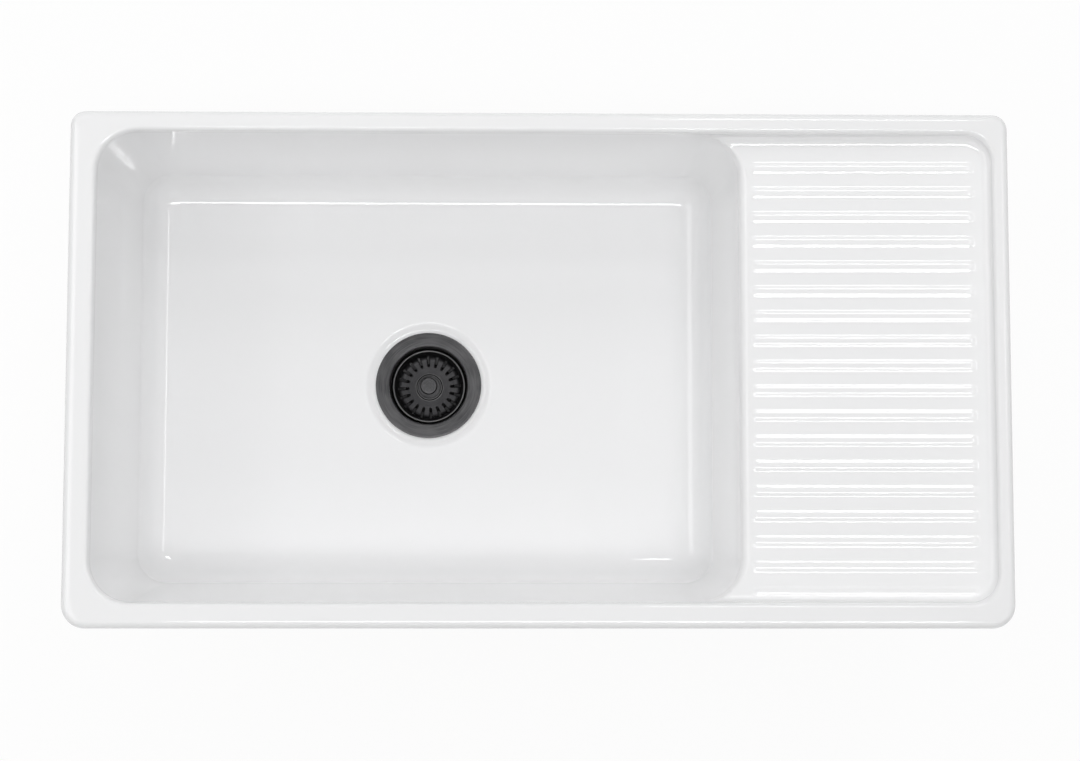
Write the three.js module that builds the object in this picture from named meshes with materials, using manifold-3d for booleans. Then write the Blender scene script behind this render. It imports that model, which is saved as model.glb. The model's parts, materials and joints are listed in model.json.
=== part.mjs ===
// Farmhouse kitchen sink with an apron front: one deep bowl, a ribbed drainboard beside it inside
// the same rim, and a basket strainer with its tailpiece.
// Millimetres, +Z up. +X points to the drainboard, -Y to the apron front, +Y to the wall behind the sink.
// The origin lies on the sink's underside, midway along its width and its depth.
import * as THREE from "three";
import { mergeVertices } from "three/addons/utils/BufferGeometryUtils.js";
import Module from "manifold-3d";

// ---- Driving dimensions: fireclay body ----
const SINK_WIDTH = 914;
const SINK_DEPTH = 500;
const SINK_HEIGHT = 254;
const FRONT_CORNER_RADIUS = 23;
const BACK_CORNER_RADIUS = 15;
const OUTER_EDGE_RADIUS = 7;
const FOOT_EDGE_RADIUS = 4;
const INNER_EDGE_RADIUS = 5;
const RIM_LEFT = 26;
const RIM_RIGHT = 16;
const RIM_BACK = 20;
const RIM_FRONT = 25;

// ---- Driving dimensions: bowl ----
const BOWL_LENGTH = 627;
const BOWL_CORNER_RADIUS = 40;
const FLOOR_CORNER_RADIUS = 14;
const BOWL_COVE_RADIUS = 26;
const SIDE_DRAFT = 9;
const BACK_DRAFT = 6;
const FRONT_DRAFT = 13;
const FLOOR_AT_SUMP = 24;
const FLOOR_FALL = 3;
const BOWL_LIP_RADIUS = 9;

// ---- Driving dimensions: drainboard ----
const BOARD_DROP_AT_BOWL = 18;
const BOARD_DROP_AT_END = 13;
const BOARD_COVE_HEIGHT = 7;
const BOARD_COVE_BACK = 14;
const BOARD_COVE_FRONT = 7;
const BOARD_COVE_END = 9;
const BOARD_CORNER_RADIUS = 27;
const BOARD_THICKNESS = 14;
const RIB_PITCH = 24.3;
const RIB_WIDTH = 14.2;
const RIB_FLANK = 6;
const RIB_HEIGHT = 0.9;
const RIB_END_TAPER = 9;
const RIB_SUNK = 0.4;
const RIB_TO_BOARD_END = 16;
const FRONT_RIB_TO_WALL = 10.4;
const BACK_RIB_TO_WALL = 30;

// ---- Driving dimensions: hollow under the drainboard ----
const UNDER_WALL = 18;
const UNDER_BOWL_WALL = 16;
const UNDER_CORNER_RADIUS = 30;
const UNDER_COVE_RADIUS = 15;
const UNDER_DRAFT = 4;

// ---- Driving dimensions: drain opening and strainer body ----
const DRAIN_FORWARD = 2.5;
const SUMP_PLAY = 2.9;
const SUMP_EDGE_WIDTH = 9;
const FLANGE_BELOW_FLOOR = 0.3;
const HOLE_PLAY = 3;
const SPOT_FACE_DEPTH = 1.5;
const SPOT_FACE_MARGIN = 5;
const FLANGE_RADIUS = 57.15;
const FLANGE_THICKNESS = 1.6;
const FLANGE_ROLL_RADIUS = 3;
const CUP_RADIUS = 41.5;
const CUP_WALL = 1.5;
const CUP_DEPTH = 45.5;
const CUP_CORNER_RADIUS = 9;
const GASKET_THICKNESS = 1;
const GASKET_WIDTH = 11;

// ---- Driving dimensions: clamping stack under the sink ----
const SEAL_THICKNESS = 3;
const SEAL_WIDTH = 13;
const FRICTION_RING_THICKNESS = 1;
const FRICTION_RING_WIDTH = 11;
const LOCKNUT_HEIGHT = 8;
const LOCKNUT_WALL = 5.5;
const LOCKNUT_COLLAR = 2.5;
const LOCKNUT_COLLAR_WIDTH = 4.5;
const LOCKNUT_LUGS = 8;
const LUG_WIDTH = 9;
const LUG_LENGTH = 5;

// ---- Driving dimensions: outlet and tailpiece ----
const OUTLET_RADIUS = 19;
const OUTLET_THREAD_RADIUS = 22.25;
const OUTLET_LENGTH = 24;
const OUTLET_COLLAR_RADIUS = 27;
const OUTLET_COLLAR_THICKNESS = 1.5;
const OUTLET_LEDGE = 1.6;
const CROSS_THICKNESS = 2;
const CROSS_DROP = 3;
const CROSS_ARMS = 4;
const CROSS_ARM_WIDTH = 3.6;
const CROSS_RING_WIDTH = 2.4;
const CROSS_HUB_RADIUS = 9;
const TAILPIECE_RADIUS = 19.05;
const TAILPIECE_WALL = 1.2;
const TAILPIECE_LENGTH = 101.6;
const TAILPIECE_LIP_WIDTH = 3;
const TAILPIECE_LIP_THICKNESS = 1.5;
const TAIL_WASHER_THICKNESS = 2;
const COUPLING_WALL = 3.4;
const COUPLING_LIP = 3;
const COUPLING_THREAD_LENGTH = 10;
const COUPLING_LUGS = 6;
const COUPLING_LUG_WIDTH = 8;
const COUPLING_LUG_LENGTH = 3;

// ---- Driving dimensions: basket ----
const BASKET_PLAY = 1.5;
const BASKET_RIM_WIDTH = 2.8;
const BASKET_RIM_HEIGHT = 2.4;
const BASKET_BELOW_FLANGE = 13;
const BASKET_DEPTH = 17;
const BASKET_TAPER = 2.5;
const BASKET_SHEET = 1;
const BASKET_CORNER_RADIUS = 6;
const BASKET_BOSS_RADIUS = 14.5;
const BASKET_BOSS_RISE = 1.5;
const SLOT_COUNT = 20;
const SLOT_WIDTH = 2.6;
const SLOT_INNER_RADIUS = 23;
const SLOT_RISE = 5;
const SLOT_START_ANGLE = 93;
const KNOB_RADIUS = 9;
const KNOB_BELOW_FLANGE = 7;
const KNOB_HEAD_THICKNESS = 3;
const KNOB_NECK_RADIUS = 5;
const KNOB_FOOT_MARGIN = 2.5;
const KNOB_BORE_DEPTH = 12;
const POST_RADIUS = 3;
const POST_COLLAR_RADIUS = 7;
const POST_TAIL = 5;
const STOPPER_RADIUS = 27;
const STOPPER_THICKNESS = 3.4;
const STOPPER_LIP = 1.2;
const STOPPER_WASHER_RADIUS = 9;
const STOPPER_WASHER_THICKNESS = 1;
const POST_NUT_WIDTH = 8;
const POST_NUT_THICKNESS = 2.6;
const CLIP_LENGTH = 7;
const CLIP_BULGE = 5.2;
const CLIP_WALL = 0.8;

// ---- Shared fit ----
const SEAT_GAP = 0.3;
const RUNNING_GAP = 0.5;
const OVERCUT = 6;
const VOID_OVERLAP = 0.05;

// ---- Fineness of the curves ----
const CORNER_STEPS = 8;
const ROUND_STEPS = 3;
const COVE_STEPS = 5;
const LATHE_SEGMENTS = 40;
const SMALL_SEGMENTS = 30;
const QUARTER = Math.PI / 2;

const wasm = await Module();
wasm.setup();

// ---- Solid helpers ----

function toSolid(geometry) {
  const bare = geometry.clone();
  bare.deleteAttribute("normal");
  bare.deleteAttribute("uv");
  const merged = mergeVertices(bare, 1e-4);
  return new wasm.Manifold(
    new wasm.Mesh({
      numProp: 3,
      vertProperties: new Float32Array(merged.attributes.position.array),
      triVerts: new Uint32Array(merged.index.array),
    }),
  );
}

function toGeometry(solid) {
  const mesh = solid.getMesh();
  const geometry = new THREE.BufferGeometry();
  geometry.setAttribute("position", new THREE.BufferAttribute(mesh.vertProperties, 3));
  geometry.setIndex(new THREE.BufferAttribute(mesh.triVerts, 1));
  geometry.computeVertexNormals();
  return geometry;
}

function signedVolume(points, triangles) {
  const cross = new THREE.Vector3();
  let sixfold = 0;
  for (let i = 0; i < triangles.length; i += 3) {
    cross.crossVectors(points[triangles[i]], points[triangles[i + 1]]);
    sixfold += cross.dot(points[triangles[i + 2]]);
  }
  return sixfold / 6;
}

// A closed surface through convex rings that all have the same number of points, with a flat cap at each end.
function loft(rings) {
  const count = rings[0].length;
  const points = rings.flat();
  const triangles = [];
  for (let ring = 0; ring < rings.length - 1; ring++) {
    for (let i = 0; i < count; i++) {
      const a = ring * count + i;
      const b = ring * count + ((i + 1) % count);
      triangles.push(a, b, b + count, a, b + count, a + count);
    }
  }
  const last = (rings.length - 1) * count;
  for (let i = 1; i < count - 1; i++) {
    triangles.push(0, i + 1, i, last, last + i, last + i + 1);
  }
  if (signedVolume(points, triangles) < 0) triangles.reverse();
  const geometry = new THREE.BufferGeometry().setFromPoints(points);
  geometry.setIndex(triangles);
  return geometry;
}

// A lathe about +Z from a closed profile of [radius, height] pairs, counter-clockwise in the (r, z) plane.
function lathe(profile, segments = LATHE_SEGMENTS) {
  const points = profile.map(([radius, height]) => new THREE.Vector2(radius, height));
  points.push(points[0].clone());
  return new THREE.LatheGeometry(points, segments).rotateX(QUARTER);
}

// A flat ring or tube of rectangular section.
function ringGeometry(inner, outer, bottom, top, segments = LATHE_SEGMENTS) {
  return lathe([[inner, bottom], [outer, bottom], [outer, top], [inner, top]], segments);
}

// Points of a quarter arc from one angle to the other, both included.
function arc(centreRadius, centreHeight, radius, from, to, steps = ROUND_STEPS) {
  const points = [];
  for (let step = 0; step <= steps; step++) {
    const angle = from + ((to - from) * step) / steps;
    points.push([centreRadius + radius * Math.cos(angle), centreHeight + radius * Math.sin(angle)]);
  }
  return points;
}

function block(lengthX, lengthY, lengthZ, x, y, z) {
  return new THREE.BoxGeometry(lengthX, lengthY, lengthZ).translate(x, y, z);
}

// A level ring round a rectangle with rounded corners: front right, back right, back left, front left.
function roundedRing({ left, right, front, back }, radii, heightAt) {
  const corners = [
    [right, front, -1],
    [right, back, 0],
    [left, back, 1],
    [left, front, 2],
  ];
  const points = [];
  corners.forEach(([x, y, quarter], corner) => {
    const radius = radii[corner];
    const centreX = x === right ? x - radius : x + radius;
    const centreY = y === back ? y - radius : y + radius;
    for (let step = 0; step <= CORNER_STEPS; step++) {
      const angle = (quarter + step / CORNER_STEPS) * QUARTER;
      const px = centreX + radius * Math.cos(angle);
      const py = centreY + radius * Math.sin(angle);
      points.push(new THREE.Vector3(px, py, heightAt(px)));
    }
  });
  return points;
}

// A level circle whose points pair with those of a rounded ring.
function circleRing(centreX, centreY, radius, height) {
  const perQuarter = CORNER_STEPS + 1;
  const points = [];
  for (let i = 0; i < 4 * perQuarter; i++) {
    const angle = ((i + 0.5) / perQuarter - 1) * QUARTER;
    const x = centreX + radius * Math.cos(angle);
    const y = centreY + radius * Math.sin(angle);
    points.push(new THREE.Vector3(x, y, height));
  }
  return points;
}

function grown(box, { left = 0, right = 0, front = 0, back = 0 }) {
  return {
    left: box.left - left,
    right: box.right + right,
    front: box.front - front,
    back: box.back + back,
  };
}

function grownAll(box, amount) {
  return grown(box, { left: amount, right: amount, front: amount, back: amount });
}

// ---- Places that several pieces share ----

const outer = { left: -SINK_WIDTH / 2, right: SINK_WIDTH / 2, front: -SINK_DEPTH / 2, back: SINK_DEPTH / 2 };
const opening = grown(outer, { left: -RIM_LEFT, right: -RIM_RIGHT, front: -RIM_FRONT, back: -RIM_BACK });
const bowl = { ...opening, right: opening.left + BOWL_LENGTH };
const drainX = (bowl.left + bowl.right) / 2;
const drainY = (bowl.front + bowl.back) / 2 - DRAIN_FORWARD;
const floorAtWall = FLOOR_AT_SUMP + FLOOR_FALL;
const sumpDepth = FLANGE_BELOW_FLOOR + FLANGE_THICKNESS + GASKET_THICKNESS + 2 * SEAT_GAP;
const seatHeight = FLOOR_AT_SUMP - sumpDepth;
const seatRadius = FLANGE_RADIUS + SUMP_PLAY;

const boardLeft = bowl.right + BOWL_LIP_RADIUS;
const boardRight = opening.right - BOARD_COVE_END;
const boardAtBowl = SINK_HEIGHT - BOARD_DROP_AT_BOWL;
const boardAtEnd = SINK_HEIGHT - BOARD_DROP_AT_END;
const boardSlope = (boardAtEnd - boardAtBowl) / (boardRight - boardLeft);
const boardHeight = (x) => boardAtBowl + boardSlope * (x - boardLeft);
const shallowestDrop = Math.min(BOARD_DROP_AT_BOWL, BOARD_DROP_AT_END);
const boardCoveHeight = Math.min(BOARD_COVE_HEIGHT, shallowestDrop - INNER_EDGE_RADIUS - SEAT_GAP);

const gasketTop = seatHeight + SEAT_GAP + GASKET_THICKNESS;
const flangeBottom = gasketTop + SEAT_GAP;
const flangeTop = flangeBottom + FLANGE_THICKNESS;
const neckRadius = CUP_RADIUS + CUP_WALL;
const holeRadius = neckRadius + HOLE_PLAY;
const cupFloor = flangeTop - CUP_DEPTH;
const cupUnderside = cupFloor - CUP_WALL;

const sealRadius = neckRadius + SEAT_GAP + SEAL_WIDTH;
const spotFaceRadius = sealRadius + SPOT_FACE_MARGIN;
const sealTop = SPOT_FACE_DEPTH - SEAT_GAP;
const frictionTop = sealTop - SEAL_THICKNESS - SEAT_GAP;
const locknutTop = frictionTop - FRICTION_RING_THICKNESS - SEAT_GAP;

const outletTop = cupUnderside - SEAT_GAP;
const outletBottom = outletTop - OUTLET_LENGTH;
const crossTop = outletTop - CROSS_DROP;
const crossBottom = crossTop - CROSS_THICKNESS;
const tailWasherTop = outletBottom - SEAT_GAP;
const tailpieceTop = tailWasherTop - TAIL_WASHER_THICKNESS - SEAT_GAP;
const tailpieceLipBottom = tailpieceTop - TAILPIECE_LIP_THICKNESS;
const tailpieceBore = TAILPIECE_RADIUS - TAILPIECE_WALL;

const basketRadius = CUP_RADIUS - BASKET_PLAY;
const basketRimTop = flangeTop - BASKET_BELOW_FLANGE;
const basketFloor = basketRimTop - BASKET_DEPTH;
const bossTop = basketFloor + BASKET_BOSS_RISE;
const bossUnderside = bossTop - BASKET_SHEET;
const knobTop = flangeTop - KNOB_BELOW_FLANGE;
const knobFoot = bossTop + SEAT_GAP;
const stopperBottom = cupFloor + SEAT_GAP;
const stopperHubBottom = stopperBottom + STOPPER_LIP;
const stopperTop = stopperHubBottom + STOPPER_THICKNESS;
const stopperWasherTop = stopperHubBottom - SEAT_GAP;
const postNutTop = stopperWasherTop - STOPPER_WASHER_THICKNESS - SEAT_GAP;
const clipTop = postNutTop - POST_NUT_THICKNESS - SEAT_GAP;
const clipBottom = clipTop - CLIP_LENGTH;
const postBottom = clipBottom - POST_TAIL;

// ---- Fireclay body ----

// The solid block: upright sides, rounded upright corners, a rounded top edge and a small round at the foot.
function outerBlock() {
  const radii = [FRONT_CORNER_RADIUS, BACK_CORNER_RADIUS, BACK_CORNER_RADIUS, FRONT_CORNER_RADIUS];
  const rings = [];
  const addRing = (inset, height) => {
    rings.push(roundedRing(grownAll(outer, -inset), radii.map((radius) => radius - inset), () => height));
  };
  for (let step = 0; step <= ROUND_STEPS; step++) {
    const angle = (step / ROUND_STEPS) * QUARTER;
    addRing(FOOT_EDGE_RADIUS * (1 - Math.sin(angle)), FOOT_EDGE_RADIUS * (1 - Math.cos(angle)));
  }
  for (let step = 0; step <= ROUND_STEPS; step++) {
    const angle = (step / ROUND_STEPS) * QUARTER;
    addRing(
      OUTER_EDGE_RADIUS * (1 - Math.cos(angle)),
      SINK_HEIGHT - OUTER_EDGE_RADIUS * (1 - Math.sin(angle)),
    );
  }
  return loft(rings);
}

// The space inside the rim, over bowl and drainboard alike, down to the drainboard's sloping floor.
function openingVoid() {
  const radii = [BOARD_CORNER_RADIUS, BOARD_CORNER_RADIUS, BOWL_CORNER_RADIUS, BOWL_CORNER_RADIUS];
  const rings = [];
  for (let step = 0; step <= ROUND_STEPS; step++) {
    const angle = (step / ROUND_STEPS) * QUARTER;
    const share = 1 - Math.sin(angle);
    const walls = grown(opening, {
      left: -BOARD_COVE_END * share,
      right: -BOARD_COVE_END * share,
      front: -BOARD_COVE_FRONT * share,
      back: -BOARD_COVE_BACK * share,
    });
    const rise = boardCoveHeight * (1 - Math.cos(angle));
    const coveRadii = radii.map((radius) => radius - BOARD_COVE_END * share);
    rings.push(roundedRing(walls, coveRadii, (x) => boardHeight(x) + rise));
  }
  for (let step = 0; step <= ROUND_STEPS; step++) {
    const angle = (step / ROUND_STEPS) * QUARTER;
    const flare = INNER_EDGE_RADIUS * (1 - Math.cos(angle));
    const height = SINK_HEIGHT - INNER_EDGE_RADIUS * (1 - Math.sin(angle));
    rings.push(roundedRing(grownAll(opening, flare), radii.map((radius) => radius + flare), () => height));
  }
  const flared = grownAll(opening, INNER_EDGE_RADIUS);
  const flaredRadii = radii.map((radius) => radius + INNER_EDGE_RADIUS);
  rings.push(roundedRing(flared, flaredRadii, () => SINK_HEIGHT + OVERCUT));
  return loft(rings);
}

// The bowl below the drainboard's level: drafted walls, cove, falling floor, sump and drain hole,
// with a shallow ground spot face round the hole on the underside, where the washer seals.
function bowlVoid() {
  const insetAt = (share) => ({
    left: -SIDE_DRAFT * share,
    right: -SIDE_DRAFT * share,
    front: -FRONT_DRAFT * share,
    back: -BACK_DRAFT * share,
  });
  const rings = [
    circleRing(drainX, drainY, spotFaceRadius, -OVERCUT),
    circleRing(drainX, drainY, spotFaceRadius, SPOT_FACE_DEPTH),
    circleRing(drainX, drainY, holeRadius, SPOT_FACE_DEPTH),
    circleRing(drainX, drainY, holeRadius, seatHeight),
    circleRing(drainX, drainY, seatRadius, seatHeight),
  ];
  for (let step = 1; step <= ROUND_STEPS; step++) {
    const angle = (step / ROUND_STEPS) * Math.PI;
    rings.push(
      circleRing(
        drainX,
        drainY,
        seatRadius + (SUMP_EDGE_WIDTH * step) / ROUND_STEPS,
        seatHeight + (sumpDepth * (1 - Math.cos(angle))) / 2,
      ),
    );
  }
  const foot = grown(bowl, insetAt(1));
  const footRadius = BOWL_CORNER_RADIUS - SIDE_DRAFT;
  for (let step = 0; step <= COVE_STEPS; step++) {
    const angle = (step / COVE_STEPS) * QUARTER;
    const share = 1 - Math.sin(angle);
    const radius = footRadius + share * (FLOOR_CORNER_RADIUS - footRadius);
    const height = floorAtWall + BOWL_COVE_RADIUS * (1 - Math.cos(angle));
    rings.push(roundedRing(grownAll(foot, -BOWL_COVE_RADIUS * share), Array(4).fill(radius), () => height));
  }
  const lipBottom = boardAtBowl - BOWL_LIP_RADIUS;
  const coveTop = floorAtWall + BOWL_COVE_RADIUS;
  const topHeight = boardAtBowl + boardCoveHeight + SEAT_GAP;
  const draftShareAt = (height) => (topHeight - height) / (topHeight - coveTop);
  for (let step = 0; step <= ROUND_STEPS; step++) {
    const angle = (step / ROUND_STEPS) * QUARTER;
    const flare = BOWL_LIP_RADIUS * (1 - Math.cos(angle));
    const height = lipBottom + BOWL_LIP_RADIUS * Math.sin(angle);
    const share = draftShareAt(height);
    const walls = grown(grown(bowl, insetAt(share)), { right: flare });
    const radius = BOWL_CORNER_RADIUS - SIDE_DRAFT * share;
    rings.push(roundedRing(walls, [radius + flare, radius + flare, radius, radius], () => height));
  }
  // The last ring lies a hair inside the opening's wall, so that the two voids never share a face.
  const topWalls = grownAll(grown(bowl, { right: BOWL_LIP_RADIUS }), -VOID_OVERLAP);
  const lipRadius = BOWL_CORNER_RADIUS + BOWL_LIP_RADIUS;
  const topRadii = [lipRadius, lipRadius, BOWL_CORNER_RADIUS, BOWL_CORNER_RADIUS];
  rings.push(roundedRing(topWalls, topRadii, () => topHeight));
  return loft(rings);
}

// The hollow that saves weight under the drainboard, open below.
function underBoardVoid() {
  const widest = {
    left: bowl.right + UNDER_BOWL_WALL,
    right: outer.right - UNDER_WALL,
    front: outer.front + UNDER_WALL,
    back: outer.back - UNDER_WALL,
  };
  const radii = Array(4).fill(UNDER_CORNER_RADIUS);
  const top = grownAll(widest, -UNDER_DRAFT);
  const ceiling = (x) => boardHeight(x) - BOARD_THICKNESS;
  const rings = [
    roundedRing(widest, radii, () => -OVERCUT),
    roundedRing(widest, radii, () => 0),
  ];
  for (let step = 0; step <= ROUND_STEPS; step++) {
    const angle = (step / ROUND_STEPS) * QUARTER;
    const inset = UNDER_COVE_RADIUS * (1 - Math.cos(angle));
    const drop = UNDER_COVE_RADIUS * (1 - Math.sin(angle));
    rings.push(
      roundedRing(grownAll(top, -inset), radii.map((radius) => radius - inset), (x) => ceiling(x) - drop),
    );
  }
  return loft(rings);
}

// Height of the bare drainboard, and of the rounded lip where it turns down into the bowl.
function boardSurface(x) {
  const pastLip = Math.max(0, boardLeft - x);
  const lipDrop = BOWL_LIP_RADIUS - Math.sqrt(Math.max(0, BOWL_LIP_RADIUS ** 2 - pastLip ** 2));
  return boardHeight(Math.max(x, boardLeft)) - lipDrop;
}

// One raised rib of the drainboard: a flat crest between two soft flanks, tapering to nothing at both ends.
function ribGeometry(centreY) {
  const left = bowl.right + BOWL_LIP_RADIUS / 3;
  const right = opening.right - RIB_TO_BOARD_END;
  const shares = [0, 0.35, 1];
  const places = [
    ...shares.map((share) => [left + share * RIB_END_TAPER, share]),
    ...shares.toReversed().map((share) => [right - share * RIB_END_TAPER, share]),
  ];
  const across = 6;
  const root = boardAtBowl - BOWL_LIP_RADIUS;
  const rings = places.map(([x, share]) => {
    const base = boardSurface(x) - RIB_SUNK;
    const rise = (RIB_HEIGHT + RIB_SUNK) * Math.sin(share * QUARTER);
    const points = [];
    for (let step = 0; step <= across; step++) {
      const y = RIB_WIDTH * (step / across - 0.5);
      const upFlank = Math.min(1, (RIB_WIDTH / 2 - Math.abs(y)) / RIB_FLANK);
      const swell = (1 - Math.cos(Math.PI * upFlank)) / 2;
      points.push(new THREE.Vector3(x, centreY + y, base + rise * swell));
    }
    points.push(new THREE.Vector3(x, centreY + RIB_WIDTH / 2, root));
    points.push(new THREE.Vector3(x, centreY - RIB_WIDTH / 2, root));
    return points;
  });
  return loft(rings);
}

function sinkBody() {
  let body = toSolid(outerBlock());
  body = body.subtract(toSolid(openingVoid()));
  body = body.subtract(toSolid(bowlVoid()));
  body = body.subtract(toSolid(underBoardVoid()));
  const lastRib = opening.back - BACK_RIB_TO_WALL;
  for (let ribY = opening.front + FRONT_RIB_TO_WALL; ribY <= lastRib; ribY += RIB_PITCH) {
    body = body.add(toSolid(ribGeometry(ribY)));
  }
  return toGeometry(body);
}

// ---- Strainer body and what clamps it ----

// A deep drawn cup with a broad flange that rolls over into it, and a hole in its floor for the outlet.
function strainerBody() {
  const rollCentre = CUP_RADIUS + FLANGE_ROLL_RADIUS;
  const rollHeight = flangeTop - FLANGE_ROLL_RADIUS;
  const cornerRadius = CUP_RADIUS - CUP_CORNER_RADIUS;
  const cornerHeight = cupFloor + CUP_CORNER_RADIUS;
  return lathe([
    [OUTLET_RADIUS, cupUnderside],
    ...arc(cornerRadius, cornerHeight, CUP_CORNER_RADIUS + CUP_WALL, -QUARTER, 0),
    [neckRadius, flangeBottom],
    [FLANGE_RADIUS - FLANGE_THICKNESS / 2, flangeBottom],
    [FLANGE_RADIUS, flangeBottom + FLANGE_THICKNESS / 2],
    [FLANGE_RADIUS - FLANGE_THICKNESS, flangeTop],
    ...arc(rollCentre, rollHeight, FLANGE_ROLL_RADIUS, QUARTER, Math.PI),
    ...arc(cornerRadius, cornerHeight, CUP_CORNER_RADIUS, 0, -QUARTER),
    [OUTLET_RADIUS, cupFloor],
  ]);
}

function flangeGasket() {
  const inner = holeRadius - HOLE_PLAY / 2;
  return ringGeometry(inner, inner + GASKET_WIDTH, seatHeight + SEAT_GAP, gasketTop);
}

function sealingWasher() {
  return ringGeometry(neckRadius + SEAT_GAP, sealRadius, sealTop - SEAL_THICKNESS, sealTop);
}

function frictionRing() {
  const inner = neckRadius + SEAT_GAP;
  return ringGeometry(inner, inner + FRICTION_RING_WIDTH, frictionTop - FRICTION_RING_THICKNESS, frictionTop);
}

// A ring nut with a collar under the washers and lugs round its lower edge for a spanner.
function lugNut({ bore, wall, top, height, collar, collarWidth, lugs, lugWidth, lugLength, lugHeight }) {
  const outside = bore + wall;
  let nut = toSolid(
    lathe([
      [bore, top - height],
      [outside, top - height],
      [outside, top - collar],
      [outside + collarWidth, top - collar],
      [outside + collarWidth, top],
      [bore, top],
    ]),
  );
  const bite = wall / 2;
  for (let lug = 0; lug < lugs; lug++) {
    const piece = block(
      lugLength + bite,
      lugWidth,
      lugHeight,
      outside + (lugLength - bite) / 2,
      0,
      top - height + lugHeight / 2,
    );
    nut = nut.add(toSolid(piece.rotateZ((lug / lugs) * 2 * Math.PI)));
  }
  return nut;
}

function locknut() {
  return toGeometry(
    lugNut({
      bore: neckRadius + SEAT_GAP,
      wall: LOCKNUT_WALL,
      top: locknutTop,
      height: LOCKNUT_HEIGHT,
      collar: LOCKNUT_COLLAR,
      collarWidth: LOCKNUT_COLLAR_WIDTH,
      lugs: LOCKNUT_LUGS,
      lugWidth: LUG_WIDTH,
      lugLength: LUG_LENGTH,
      lugHeight: LOCKNUT_HEIGHT - LOCKNUT_COLLAR / 2,
    }),
  );
}

// ---- Outlet and tailpiece ----

// The threaded outlet under the cup, with a ledge inside that carries the cross.
function outletFerrule() {
  const ledge = crossBottom - SEAT_GAP;
  const narrow = OUTLET_RADIUS - OUTLET_LEDGE;
  return lathe([
    [narrow, outletBottom],
    [OUTLET_THREAD_RADIUS, outletBottom],
    [OUTLET_THREAD_RADIUS, outletTop - OUTLET_COLLAR_THICKNESS],
    [OUTLET_COLLAR_RADIUS, outletTop - OUTLET_COLLAR_THICKNESS],
    [OUTLET_COLLAR_RADIUS, outletTop],
    [OUTLET_RADIUS, outletTop],
    [OUTLET_RADIUS, ledge],
    [narrow, ledge],
  ]);
}

// A stamped cross in a ring, with a hub hole that the basket's clip drops through.
function outletCross() {
  const outside = OUTLET_RADIUS - SEAT_GAP;
  const windowOuter = outside - CROSS_RING_WIDTH;
  const hole = CLIP_BULGE + RUNNING_GAP;
  const shape = new THREE.Shape().absarc(0, 0, outside, 0, 2 * Math.PI, false);
  shape.holes.push(new THREE.Path().absarc(0, 0, hole, 0, 2 * Math.PI, true));
  const step = (2 * Math.PI) / CROSS_ARMS;
  for (let arm = 0; arm < CROSS_ARMS; arm++) {
    const outerHalf = CROSS_ARM_WIDTH / 2 / windowOuter;
    const innerHalf = CROSS_ARM_WIDTH / 2 / CROSS_HUB_RADIUS;
    const window = new THREE.Path();
    window.absarc(0, 0, windowOuter, arm * step + outerHalf, (arm + 1) * step - outerHalf, false);
    window.absarc(0, 0, CROSS_HUB_RADIUS, (arm + 1) * step - innerHalf, arm * step + innerHalf, true);
    window.closePath();
    shape.holes.push(window);
  }
  const plate = new THREE.ExtrudeGeometry(shape, {
    depth: CROSS_THICKNESS,
    bevelEnabled: false,
    curveSegments: 8,
  });
  return plate.translate(0, 0, crossBottom);
}

function tailpieceWasher() {
  return ringGeometry(
    tailpieceBore + SEAT_GAP,
    OUTLET_THREAD_RADIUS - SEAT_GAP,
    tailWasherTop - TAIL_WASHER_THICKNESS,
    tailWasherTop,
  );
}

function tailpiece() {
  const bottom = tailpieceTop - TAILPIECE_LENGTH;
  return lathe([
    [tailpieceBore, bottom],
    [TAILPIECE_RADIUS, bottom],
    [TAILPIECE_RADIUS, tailpieceLipBottom],
    [TAILPIECE_RADIUS + TAILPIECE_LIP_WIDTH, tailpieceLipBottom],
    [TAILPIECE_RADIUS + TAILPIECE_LIP_WIDTH, tailpieceTop],
    [tailpieceBore, tailpieceTop],
  ]);
}

// The nut that draws the tailpiece up to the outlet: a lug nut with a lip under the tailpiece's lip.
function couplingNut() {
  const bore = OUTLET_THREAD_RADIUS + SEAT_GAP;
  const lipTop = tailpieceLipBottom - SEAT_GAP;
  const top = outletBottom + COUPLING_THREAD_LENGTH;
  const height = top - lipTop + COUPLING_LIP;
  const nut = lugNut({
    bore,
    wall: COUPLING_WALL,
    top,
    height,
    collar: COUPLING_LIP,
    collarWidth: COUPLING_LUG_LENGTH / 2,
    lugs: COUPLING_LUGS,
    lugWidth: COUPLING_LUG_WIDTH,
    lugLength: COUPLING_LUG_LENGTH,
    lugHeight: height - COUPLING_LIP / 2,
  });
  const lipBore = TAILPIECE_RADIUS + SEAT_GAP;
  const lip = ringGeometry(lipBore, bore + COUPLING_WALL / 2, lipTop - COUPLING_LIP, lipTop);
  return toGeometry(nut.add(toSolid(lip)));
}

// ---- Basket ----

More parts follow.
